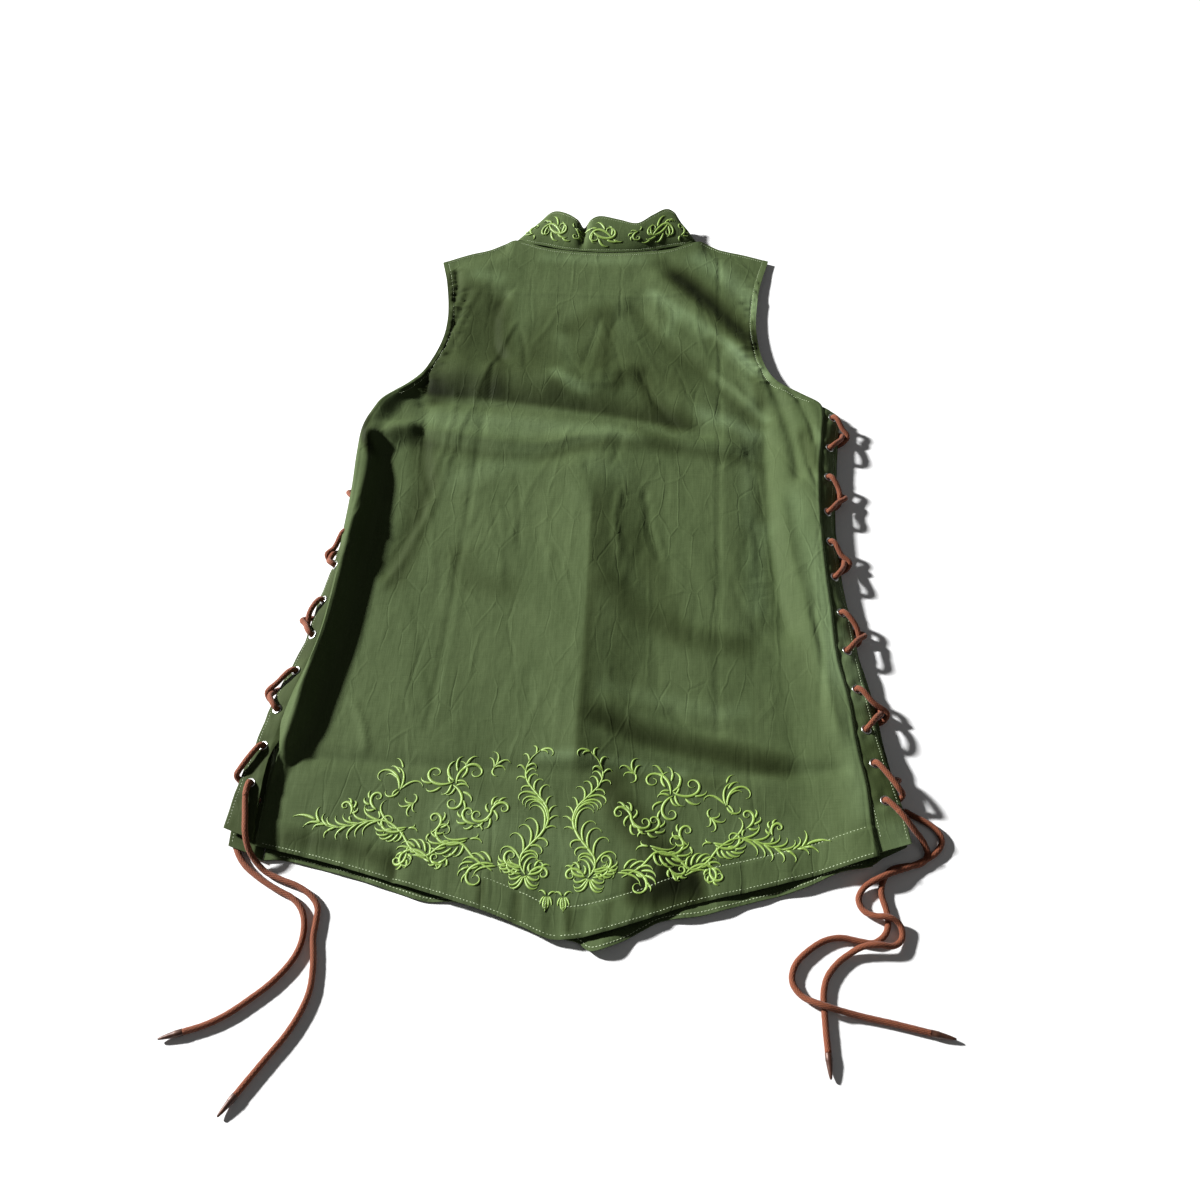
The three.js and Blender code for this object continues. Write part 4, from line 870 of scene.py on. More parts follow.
def linear(colour: Colour) -> Colour:
    """Turns display values from 0 to 255 into linear light.

    Args:
        colour: Red, green and blue.

    Returns:
        The same colour in linear light.
    """
    return tuple(
        c / 255 / 12.92 if c / 255 <= 0.04045 else ((c / 255 + 0.055) / 1.055) ** 2.4
        for c in colour
    )


def group_of(
    name: str, numbers: dict[str, float], outputs: Sequence[str]
) -> tuple[Shader, Sequence[Socket], bpy.types.Node]:
    """Starts a shader node group whose first input is the flat place.

    Args:
        name: Name of the group.
        numbers: Names and defaults of its other inputs.
        outputs: Names of its outputs.

    Returns:
        A helper on the group's tree, its inputs and its output node.
    """
    tree = bpy.data.node_groups.new(name, "ShaderNodeTree")
    new = tree.interface.new_socket
    new(name="Flat place", in_out="INPUT", socket_type="NodeSocketVector")
    for label, value in numbers.items():
        new(name=label, in_out="INPUT", socket_type="NodeSocketFloat").default_value = value
    for label in outputs:
        new(name=label, in_out="OUTPUT", socket_type="NodeSocketFloat")
    given = tree.nodes.new("NodeGroupInput").outputs[:]
    return Shader(tree), given, tree.nodes.new("NodeGroupOutput")


def weave_group() -> None:
    """Group of a plain weave: crossing threads, a little uneven, as height and as tone."""
    s, (flat, threads, *_), leave = group_of("Plain weave", {"Threads": 1500.0}, ("Height", "Tone"))
    wobble = s.noise(flat, (260, 260, 1))
    turns = []
    for run in s.add("SeparateXYZ", {0: flat}).outputs[:2]:
        shifted = s.plus(s.times(run, threads), s.times(wobble, 1.6))
        turns.append(s.math("SINE", s.times(shifted, math.pi)))
    slubs = s.plus(s.noise(flat, (1400, 40, 1)), s.noise(flat, (40, 1400, 1)))
    s.fill(leave, {0: s.math("ABSOLUTE", s.times(*turns)), 1: s.times(slubs, 0.5)})


def wrinkle_group() -> None:
    """Group of pressed cotton: long faint streaks along the cloth and small soft creases."""
    s, (flat, *_), leave = group_of("Pressed cotton", {}, ("Height", "Streak", "Mottle"))
    warp = s.add("TexNoise", {"Vector": s.mapped(flat, (9, 6, 1)), "Detail": 2.0})
    shift = s.add("VectorMath", {0: warp.outputs[1], 3: 0.008}, operation="SCALE")
    bent = s.add("VectorMath", {0: flat, 1: shift.outputs[0]}, operation="ADD").outputs[0]
    streak = s.noise(flat, (95, 7, 1), 4.0, 0.62)
    height = s.weigh((streak, 0.3), (s.noise(flat, (330, 16, 1), 3.0, 0.6), 0.16))
    for scale, turn, wide, deep in ((19, 6.5, 1), 0.14, 0.05, 8.0), ((52, 20, 1), -0.3, 0.06, 4.4):
        cells = s.add(
            "TexVoronoi", {"Vector": s.mapped(bent, scale, turn), "Scale": 1.0},
            feature="DISTANCE_TO_EDGE", voronoi_dimensions="2D",
        )
        crease = s.times(s.math("MINIMUM", cells.outputs["Distance"], wide), deep)
        strong = s.ramp(s.noise(flat, (15, 9, 1), turn=turn), 0.3, 0.7)
        strong = s.times(s.math("SUBTRACT", strong, 0.5), 2.0)
        height = s.plus(height, s.times(crease, strong))
    height = s.plus(height, s.times(s.noise(flat, (26, 17, 1), 3.0), 3.0))
    s.fill(leave, {0: height, 1: streak, 2: s.noise(flat, (13, 9, 1), 3.0)})


def braid_group() -> None:
    """Group of a braided cord: strands that cross in both directions round it."""
    s, (flat, strands, per_metre, *_), leave = group_of(
        "Braid", {"Strands": 8.0, "Per metre": 260.0}, ("Height", "Fuzz")
    )
    across, onward, _ = s.add("SeparateXYZ", {0: flat}).outputs
    around, forward = s.times(across, strands), s.times(onward, per_metre)
    waves = []
    for way in ("ADD", "SUBTRACT"):
        waves.append(s.math("SINE", s.times(s.math(way, around, forward), math.pi)))
    height = s.math("POWER", s.math("ABSOLUTE", s.times(*waves)), 0.6)
    s.fill(leave, {0: height, 1: s.noise(flat, (18, 900, 1), 3.0, 0.6)})


@dataclass(frozen=True)
class ClothFinish:
    """Cotton cloth: its colours in display values and how rough its creases are."""

    light: Colour
    dark: Colour
    crease: float = 0.9
    rough: float = 0.7

    def nodes(self, s: Shader) -> dict:
        """Adds the nodes of the finish and gives the shader's inputs.

        Args:
            s: Helper on the material's tree.

        Returns:
            Values and sockets for the Principled shader.
        """
        flat = s.flat()
        weave, cotton = s.group("Plain weave", flat), s.group("Pressed cotton", flat)
        parts = ((cotton[1], 0.2), (cotton[2], 0.4), (weave[1], 0.46))
        tone = s.weigh(*((s.ramp(value, 0.3, 0.7), weight) for value, weight in parts))
        colour = s.blend(tone, linear(self.dark), linear(self.light))
        # Painted light and shade: the tone attribute scales the colour by doublings of light, blue
        # a little more, so that painted shade reads a deeper green
        painted_shading_gain = s.math("POWER", 2.0, s.add("Attribute", attribute_name="tone").outputs["Fac"])
        painted_shading_gains = s.add("CombineXYZ", {0: painted_shading_gain, 1: painted_shading_gain, 2: s.math("POWER", painted_shading_gain, 1.3)}).outputs[0]
        colour = s.add("VectorMath", {0: colour, 1: painted_shading_gains}, operation="MULTIPLY").outputs[0]
        return {
            "Base Color": colour,
            "Roughness": s.plus(s.times(cotton[2], 0.16), self.rough - 0.08),
            "Normal": s.bump(weave[0], 0.00008, 0.6, s.bump(cotton[0], self.crease * MM, 1.0)),
            "Sheen Weight": 0.01, "Sheen Roughness": 0.5, "Sheen Tint": (0.8, 0.95, 0.6, 1),
            "Specular IOR Level": 0.07,
        }


@dataclass(frozen=True)
class LaceFinish:
    """Braided cotton lace: its colours in display values."""

    light: Colour = (134, 74, 46)
    dark: Colour = (80, 40, 24)

    def nodes(self, s: Shader) -> dict:
        """Adds the nodes of the finish and gives the shader's inputs.

        Args:
            s: Helper on the material's tree.

        Returns:
            Values and sockets for the Principled shader.
        """
        strands, fuzz = s.group("Braid", s.flat())
        # Lighter on the crowns of the strands and darker between them, as painted light and shade
        # of the braid's relief; the fuzz varies the tone at random
        tone = s.weigh((strands, 0.55), (s.ramp(fuzz, 0.3, 0.7), 0.45))
        return {
            "Base Color": s.blend(tone, linear(self.dark), linear(self.light)),
            "Roughness": s.plus(s.times(fuzz, 0.2), 0.68),
            "Normal": s.bump(fuzz, 0.0002, 0.5, s.bump(strands, 0.00035, 0.8)),
            "Sheen Weight": 0.1, "Sheen Roughness": 0.5, "Specular IOR Level": 0.25,
        }


@dataclass(frozen=True)
class ThreadFinish:
    """Shiny thread laid in close turns: colours, turns to the metre and depth of the turns."""

    light: Colour
    dark: Colour
    turns: float = 2600.0
    depth: float = 0.00012

    def nodes(self, s: Shader) -> dict:
        """Adds the nodes of the finish and gives the shader's inputs.

        Args:
            s: Helper on the material's tree.

        Returns:
            Values and sockets for the Principled shader.
        """
        flat = s.flat()
        across, onward, _ = s.add("SeparateXYZ", {0: flat}).outputs
        slant = s.plus(onward, s.times(across, 0.0006))
        turn = s.math("SINE", s.times(slant, self.turns * math.pi))
        # Each turn lighter on its crown and darker where it meets the next, as painted light and
        # shade of the turns; the noise varies the tone at random along the thread
        lay = s.plus(s.times(turn, 0.5), 0.5)
        tone = s.weigh((lay, 0.4), (s.noise(flat, (3, 700, 1)), 0.6))
        return {
            "Base Color": s.blend(tone, linear(self.dark), linear(self.light)),
            "Normal": s.bump(lay, self.depth, 0.7),
            "Roughness": 0.38, "Specular IOR Level": 0.6, "Sheen Weight": 0.2,
        }


@dataclass(frozen=True)
class MetalFinish:
    """Plated or painted metal: colour, and how far it is worn."""

    colour: Colour
    worn: Colour
    metallic: float
    rough: float

    def nodes(self, s: Shader) -> dict:
        """Adds the nodes of the finish and gives the shader's inputs.

        Args:
            s: Helper on the material's tree.

        Returns:
            Values and sockets for the Principled shader.
        """
        place = s.add("TexCoord").outputs["Object"]
        grain = s.noise(place, 900.0, 3.0)
        wear = s.ramp(s.noise(place, 260.0, 3.0), 0.5, 0.72)
        return {
            "Base Color": s.blend(wear, linear(self.colour), linear(self.worn)),
            "Roughness": s.plus(s.times(grain, 0.18), self.rough - 0.06),
            "Normal": s.bump(grain, 0.00005, 0.4), "Metallic": self.metallic,
        }


@dataclass(frozen=True)
class FloorFinish:
    """Plain pale floor: its colours in linear light."""

    low: Colour = (0.86, 0.86, 0.855)
    high: Colour = (0.9, 0.9, 0.9)

    def nodes(self, s: Shader) -> dict:
        """Adds the nodes of the finish and gives the shader's inputs.

        Args:
            s: Helper on the material's tree.

        Returns:
            Values and sockets for the Principled shader.
        """
        speck = s.noise(s.add("TexCoord").outputs["Object"], 3.0)
        colour = s.blend(speck, self.low, self.high)
        return {"Base Color": colour, "Roughness": 0.9, "Specular IOR Level": 0.1}


FINISHES = {
    Finish.BODY: ClothFinish((75, 88, 56), (60, 73, 43)),
    # Plackets and collar: the body's green painted lighter, as painted light for the light they
    # catch
    Finish.PLACKET: ClothFinish((82, 96, 62), (68, 81, 50), 0.5),
    Finish.COLLAR: ClothFinish((82, 97, 60), (66, 80, 47), 0.4),
    Finish.LACE: LaceFinish(),
    Finish.SATIN: ThreadFinish((150, 182, 74), (96, 124, 46)),
    Finish.STITCH: ThreadFinish((196, 210, 172), (150, 166, 128), 1400.0),
    Finish.NICKEL: MetalFinish((196, 198, 194), (150, 152, 150), 1.0, 0.3),
    Finish.TIP: MetalFinish((70, 42, 30), (98, 66, 48), 0.25, 0.42),
    Finish.FLOOR: FloorFinish(),
}


class Palette:
    """All finishes, built once."""

    def __init__(self) -> None:
        """Builds the groups and every finish on them."""
        for group in (weave_group, wrinkle_group, braid_group):
            group()
        self.made = {label: self.material(label) for label in FINISHES}

    def material(self, label: Finish) -> bpy.types.Material:
        """Builds one finish on a Principled shader.

        Args:
            label: Finish to build.

        Returns:
            The material.
        """
        material = bpy.data.materials.new(label.value)
        material.use_nodes = True
        material.node_tree.nodes.clear()
        s = Shader(material.node_tree)
        shader = s.add("BsdfPrincipled")
        s.add("OutputMaterial", {0: shader.outputs[0]})
        s.fill(shader, FINISHES[label].nodes(s))
        return material

    def paint(self, piece: Piece, label: Finish) -> None:
        """Gives a piece one finish."""
        piece.data.materials.clear()
        piece.data.materials.append(self.made[label])

    def dress(self, piece: Piece, label: Finish, slot: str, *nodes: str) -> None:
        """Gives a piece its finish, hides the CAD nodes that it replaces, and sets it on the root
        body.

        Args:
            piece: The finished piece.
            label: Its finish.
            slot: Name of a material slot; not used.
            nodes: CAD nodes that it replaces, if any.
        """
        self.paint(piece, label)
        if nodes:
            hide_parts(*nodes)
        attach(piece, "root")


# Studio


@dataclass
class Studio:
    """Camera, floor and lights: lengths in metres in the part's frame."""

    eye: Colour = (0.0514, -0.7546, 1.0039)
    look: Colour = (-0.0289, 0.5432, -0.8391)
    right: Colour = (0.99859, 0.05313, 0.0)
    lens: float = 35.97
    floor_size: float = 9.0
    floor_drop: float = 0.0004
    air: float = 0.06

    def camera(self) -> None:
        """Sets the camera at the photograph's angle."""
        data = bpy.data.cameras.new("camera")
        data.sensor_width, data.lens, data.clip_start = 36.0, self.lens, 0.02
        camera = linked("camera", data)
        back, right = -Vector(self.look).normalized(), Vector(self.right).normalized()
        turn = Matrix((right, back.cross(right).normalized(), back)).transposed()
        camera.matrix_world = Matrix.Translation(self.eye) @ turn.to_4x4()
        bpy.context.scene.camera = camera

    def floor(self, palette: Palette) -> None:
        """Lays the plain pale floor.

        Args:
            palette: Finishes of the garment.
        """
        select_only()
        bpy.ops.mesh.primitive_plane_add(size=self.floor_size, location=(0, 0.6, -self.floor_drop))
        floor = bpy.context.object
        floor.name = "studio_floor"
        palette.paint(floor, Finish.FLOOR)

    def light(self, name: str, hung: Colour, size: float, power: float) -> None:
        """Adds a soft square light that looks at the garment.

        Args:
            name: Name of the light.
            hung: Where it hangs.
            size: Side of the square.
            power: Power in watts.
        """
        data = bpy.data.lights.new(name, "AREA")
        data.size, data.energy = size, power
        lamp = linked(name, data)
        lamp.location = hung
        lamp.rotation_euler = (-Vector(hung)).to_track_quat("-Z", "Y").to_euler()

    def lights(self) -> None:
        """Hangs the key light on the left, a weak fill on the right, and sets the air's light."""
        self.light("key", (-5.75, 2.1, 3.2), 0.55, 1500.0)
        self.light("fill", (1.6, -1.0, 2.8), 2.2, 4.0)
        world = bpy.data.worlds.new("studio")
        world.use_nodes = True
        Shader(world.node_tree).fill(
            world.node_tree.nodes["Background"], {0: (1, 1, 1, 1), 1: self.air}
        )
        bpy.context.scene.world = world
        bpy.context.scene.view_settings.view_transform = "Standard"


# Cloth


@dataclass
class BackCloth:
    """Upper face of the back panel: height at any place, with its folds, gathers and seams."""

    hem_strip: float = 6.5
    gather_seed: int = 11
    crease_count: int = 80
    gathers: list[Fold] = field(default_factory=list)

    def __post_init__(self) -> None:
        """Draws the uneven gathers of both armholes and the small creases of a worn cloth."""
        rng = np.random.default_rng(self.gather_seed)
        draw = rng.uniform
        for edge, sign, count in ((LEFT_EDGE, -1, 22), (RIGHT_EDGE, 1, 19)):
            for level in np.linspace(612, 800, count) + draw(-3.2, 3.2, count):
                at = float(along(edge, level))
                reach = draw(10, 26)
                slope = (level - 700) * 0.004 + draw(-0.25, 0.25)
                rise = draw(1.1, 2.2) * (1 if rng.random() > 0.4 else -1)
                half = draw(2.6, 4.4)
                ends = [(at - sign * 4, level), (at - sign * reach, level + slope * reach)]
                self.gathers.append((ends, rise, half, half, 0.6, half))
        for _ in range(self.crease_count):
            x, y = draw(-175, 185), draw(185, 790)
            lean = (x * 0.0016 if y > 560 else 0.0) + rng.normal(0, 0.2)
            half, reach = draw(4, 7), draw(20, 60)
            bow = draw(-0.12, 0.12) * reach
            line = [(x - lean * reach, y + reach), (x + bow, y), (x + lean * reach, y - reach)]
            rise = draw(0.35, 0.85) * (1 if rng.random() > 0.5 else -1)
            self.gathers.append((line, rise, half, half, 1, 0.6 * reach))

    def from_left(self, x: Array, y: Array) -> Array:
        """Distance in from the left edge."""
        return x - along(LEFT_EDGE, y)

    def from_right(self, x: Array, y: Array) -> Array:
        """Distance in from the right edge."""
        return along(RIGHT_EDGE, y) - x

    def base(self, x: Array, y: Array) -> Array:
        """Height of the cloth with its two raised sides, before its folds.

        Args:
            x: Places across.
            y: Places along.

        Returns:
            The heights.
        """
        left, right = self.from_left(x, y), self.from_right(x, y)
        middle, rim = along(MIDDLE_HEIGHT, y), along(LEFT_HEIGHT, y)
        crest, high, foot = (along(LEFT_RIDGE, y, k) for k in (1, 2, 3))
        rise = rim + (high - rim) * ease(0, 1, left / crest)
        fall = 1 - ease(0, 1, (left - crest) / (foot - crest))
        z = np.where(left < crest, rise, middle + (high - middle) * fall)
        z = z + (along(RIGHT_HEIGHT, y) - middle) * (1 - ease(0, RIGHT_FOOT, right))
        top = ease(0, 36, along(TOP, x) - y)
        neck = ease(NECK_HALF, NECK_HALF + SHOULDER_FADE, np.abs(x - 1))
        return z + (SHOULDER_HEIGHT - z) * (1 - top) * neck

    def height(self, x: Array, y: Array) -> Array:
        """Height of the cloth at places: the base, and all the small forms on it.

        Args:
            x: Places across.
            y: Places along.

        Returns:
            The heights.
        """
        x, y = np.asarray(x, float), np.asarray(y, float)
        z = self.base(x, y)
        left, right = self.from_left(x, y), self.from_right(x, y)
        edge = np.minimum(left, right)
        hold = ease(1, 9, left) * ease(1, 9, right) * ease(0, 30, along(TOP, x) - y)
        z = z + fold_heights(FOLDS, x, y) * hold + fold_heights(self.gathers, x, y)
        armhole = ease(592, 606, y)
        z = z + armhole * (0.55 * (1 - ease(self.hem_strip - 1, self.hem_strip, edge)))
        z = z - armhole * 0.5 * bump(1.3, edge - self.hem_strip)
        up = y - along(HEM, x)
        in_band = 1 - ease(BAND_DEPTH - 5, BAND_DEPTH + 5, up)
        for at, half, rise in BAND_CREASES:
            z = z + rise * bump(half, x - at) * in_band
        z = z + 0.5 * (1 - ease(BAND_DEPTH - 1.2, BAND_DEPTH, up))
        z = z - 0.45 * bump(1.4, up - BAND_DEPTH) - 0.35 * bump(1.0, up - EDGE_STITCH)
        z = z + 4.5 * bump(52, x - 48) * (1 - ease(0, 46, up))
        side = 1 - ease(590, 600, y)
        z = z - side * (1.3 * (1 - ease(0, 2.6, edge)) + 0.3 * bump(1.2, edge - 5))
        z = z - 0.9 * (1 - ease(0, 1.6, up))
        return np.where(z < 5.4, 3.4 + 2 * np.exp(np.minimum(z - 5.4, 0) / 2), z)

    def place(self, x: Array, y: Array) -> Array:
        """Places on the cloth."""
        return np.stack([x, y, self.height(x, y)], -1)


@dataclass
class Panel:
    """Grid of a panel between two side edges, a hem and a top line."""

    left: Table
    right: Table
    hem: Table
    top: Table

    def grid(self, shares: Array, edge: Sequence[float], middle: int) -> Array:
        """Places of the grid's points.

        Args:
            shares: Share of the length of each row, 0 at the hem.
            edge: Distances across from both side edges.
            middle: How many even steps lie between.

        Returns:
            x and y of each point.
        """
        y0, y1 = self.left[0][0], self.right[0][0]
        y2, y3 = self.left[-1][0], self.right[-1][0]
        edge = np.asarray(edge, float)
        rows = []
        for v in shares:
            left_y, right_y = y0 + (y2 - y0) * v, y1 + (y3 - y1) * v
            left_x, right_x = float(along(self.left, left_y)), float(along(self.right, right_y))
            width = right_x - left_x
            between = np.linspace(edge[-1], width - edge[-1], middle)[1:-1]
            across = np.r_[edge, between, width - edge[::-1]]
            u = across / width
            hem_x = self.hem[0][0] + (self.hem[-1][0] - self.hem[0][0]) * u
            top_x = self.top[0][0] + (self.top[-1][0] - self.top[0][0]) * u
            dip = along(self.hem, hem_x) - (y0 + (y1 - y0) * u)
            rise = along(self.top, top_x) - (y2 + (y3 - y2) * u)
            level = left_y + (right_y - left_y) * u
            y = level + dip * (1 - ease(0.03, 0.6, v)) + rise * ease(0.72, 1, v)
            rows.append(np.stack([left_x + across, y], 1))
        return np.array(rows)


@dataclass
class BackPanel:
    """The back of the garment: one piece of cloth from the hem to the neck."""

    palette: Palette
    cloth: BackCloth
    flat: tuple[float, float] = (0.61, 0.88)
    area: float = 0.43
    near: tuple[float, ...] = (
        0, 0.7, 1.5, 2.6, 4, 5.4, 6.6, 8, 10, 12, 14.2, 16.6, 19, 22, 25, 28, 31, 34, 38, 42, 46
    )

    def build(self) -> None:
        low = np.linspace(0, 0.05, 18, endpoint=False)
        shares = np.r_[low, np.linspace(0.05, 0.68, 138, endpoint=False), np.linspace(0.68, 1, 112)]
        xy = Panel(LEFT_EDGE, RIGHT_EDGE, HEM, TOP).grid(shares, self.near, 126)
        piece = cloth_shell("cloth_back", self.cloth.place(*xy.T).swapaxes(0, 1), CLOTH, xy * MM)
        # Painted light and shade of the folds, written as the piece's tone
        shade_by(piece, PAINTED_SHADING)
        self.palette.dress(piece, Finish.BODY, "cloth", "back_panel")


@dataclass
class FrontPanel:
    """The front of the garment, pressed flat on the surface under the back."""

    palette: Palette
    thickness: float = 1.5
    flat: tuple[float, float] = (0.53, 0.87)
    area: float = 0.37
    inset: float = 1.5
    placket_gap: float = 0.9
    slit_length: float = 150.0
    slit_width: float = 3.4

    def edge(self, side: dict, armhole: Table) -> list[list[float]]:
        """Side edge of the front: along its placket, then round the armhole.

        Args:
            side: Table of the side.
            armhole: Outline of the back on this side.

        Returns:
            Rows of y and x.
        """
        inner, sign = PLACKET_WIDTH + self.placket_gap, side["sign"]
        levels = [side["front_bottom"][0], *reversed(side["eyelets"])]
        rows = [[y, sign * (float(along(side["front"], y)) - inner)] for y in levels]
        return rows + [[y, x - sign * self.inset] for y, x in armhole if y > ARMHOLE_FOOT]

    def place(self, x: Array, y: Array) -> Array:
        """Places on its upper face: flat, but for a lift along the free part of the hem.

        Args:
            x: Places across.
            y: Places along.

        Returns:
            The places.
        """
        up = y - along(FRONT_HEM, x)
        lift = 6 * bump(34, x - 42) + 3.4 * bump(60, x - 130) + 7 * ease(180, 246, x)
        wave = 0.5 * np.sin(x * 0.19) + 0.35 * np.sin(x * 0.071 + 1)
        z = self.thickness + (lift + wave + 0.5) * (1 - ease(2, 28, up))
        return np.stack([x, y, z - 0.3 * bump(1.2, up - EDGE_STITCH)], -1)

    def build(self) -> None:
        left, right = self.edge(LEFT_SIDE, LEFT_EDGE), self.edge(RIGHT_SIDE, RIGHT_EDGE)
        top = [[x + 1, y - self.inset] for x, y in TOP if x < -NECK_HALF] + FRONT_NECK
        top += [[x - 1, y - self.inset] for x, y in TOP if x > NECK_HALF + 2]
        shares = np.r_[np.linspace(0, 0.045, 14, endpoint=False), np.linspace(0.045, 1, 120)]
        xy = Panel(left, right, FRONT_HEM, top).grid(shares, (0, 1, 3, 8), 150)
        rows = self.place(xy[..., 0], xy[..., 1])
        x, y = ((xy[:-1, :-1] + xy[1:, 1:]) / 2).T
        slit = (np.abs(x) < self.slit_width / 2) & (y > along(FRONT_NECK, 0) - self.slit_length)
        piece = cloth_shell("cloth_front", rows, self.thickness, xy * MM, ~slit.T)
        self.palette.dress(piece, Finish.BODY, "cloth", "front_panel")

# Sides


@dataclass
class Side:
    """One side of the garment: seam, placket edges, heights and eyelets."""

    label: str
    table: dict
    edge: Table
    height: Table
    lean: float = 0.16
    drop_power: float = 1.5
    ramp: float = 7.0
    eyelet_inset: float = 6.5
    least_width: float = 15.0
    lean_shift: float = 3.9

    def __post_init__(self) -> None:
        """Takes the side's sign and its number of eyelets from its table."""
        self.sign, self.count = self.table["sign"], len(self.table["eyelets"])

    def seam(self, y: Reals) -> Array:
        """Distance of the back panel's edge from the centre line."""
        return along(self.edge, y) * self.sign

    def outer(self, layer: str, y: Reals) -> Array:
        """Distance of a placket's outer edge from the centre line."""
        return along(self.table[layer], y)

    def bottom(self, layer: str) -> list[float]:
        """Lower ends of a placket's inner and outer edge."""
        return self.table["bottom" if layer == "back" else "front_bottom"]

    def top(self, layer: str, x: Reals, y: Reals) -> Array:
        """Upper face of a placket, without its small forms.

        Args:
            layer: Which placket, back or front.
            x: Places across.
            y: Places along.

        Returns:
            The heights.
        """
        outer = self.outer(layer, y)
        if layer == "front":
            low = PLACKET_CLOTH + 0.3
            out = np.asarray(x, float) - (outer - PLACKET_WIDTH)
            return low + (FRONT_LIFT + PLACKET_CLOTH - low) * ease(0, self.ramp, out)
        out = np.asarray(x, float) - self.seam(y)
        level = along(self.height, y) - SEAM_STEP
        share = np.maximum(out, 0) / np.maximum(outer - self.seam(y), 4)
        drop = along(self.table["drop"], y) * share**self.drop_power
        return np.where(out < 0, level + out * self.lean, level - drop)

    def eyelet(self, layer: str, i: int) -> tuple[Array, Array]:
        """Middle and outward normal of eyelet i of a placket; a front one faces down.

        Args:
            layer: Which placket, back or front.
            i: Number of the eyelet, 0 at the armhole.

        Returns:
            The middle and the normal.
        """
        y = self.table["eyelets"][i]
        outer = float(self.outer("back", y))
        x = min((float(self.seam(y)) + outer) / 2, outer - self.eyelet_inset)
        rise = float(self.top("back", x + 0.5, y) - self.top("back", x - 0.5, y))
        fall = float(self.top("back", x, y + 0.5) - self.top("back", x, y - 0.5))
        normal = unit(np.array([-rise * self.sign, -fall, 1.0]))
        point = np.array([x * self.sign, y, float(self.top("back", x, y))])
        point = point - normal * PLACKET_CLOTH / 2
        if layer == "back":
            return point, normal
        x = point[0] * self.sign - ROW_SHIFT - self.lean_shift * abs(normal[0])
        y = y - (LAST_SHIFT if i == self.count - 1 else 0)
        z = FRONT_LIFT + PLACKET_CLOTH / 2
        return np.array([x * self.sign, y, z]), np.array([0.0, 0.0, -1.0])


Stop = tuple[str, Array, Array]


def level(start: Stop, end: Stop, share: float) -> float:
    """Length at a share of the way from one eyelet to another."""
    return start[1][1] + (end[1][1] - start[1][1]) * share


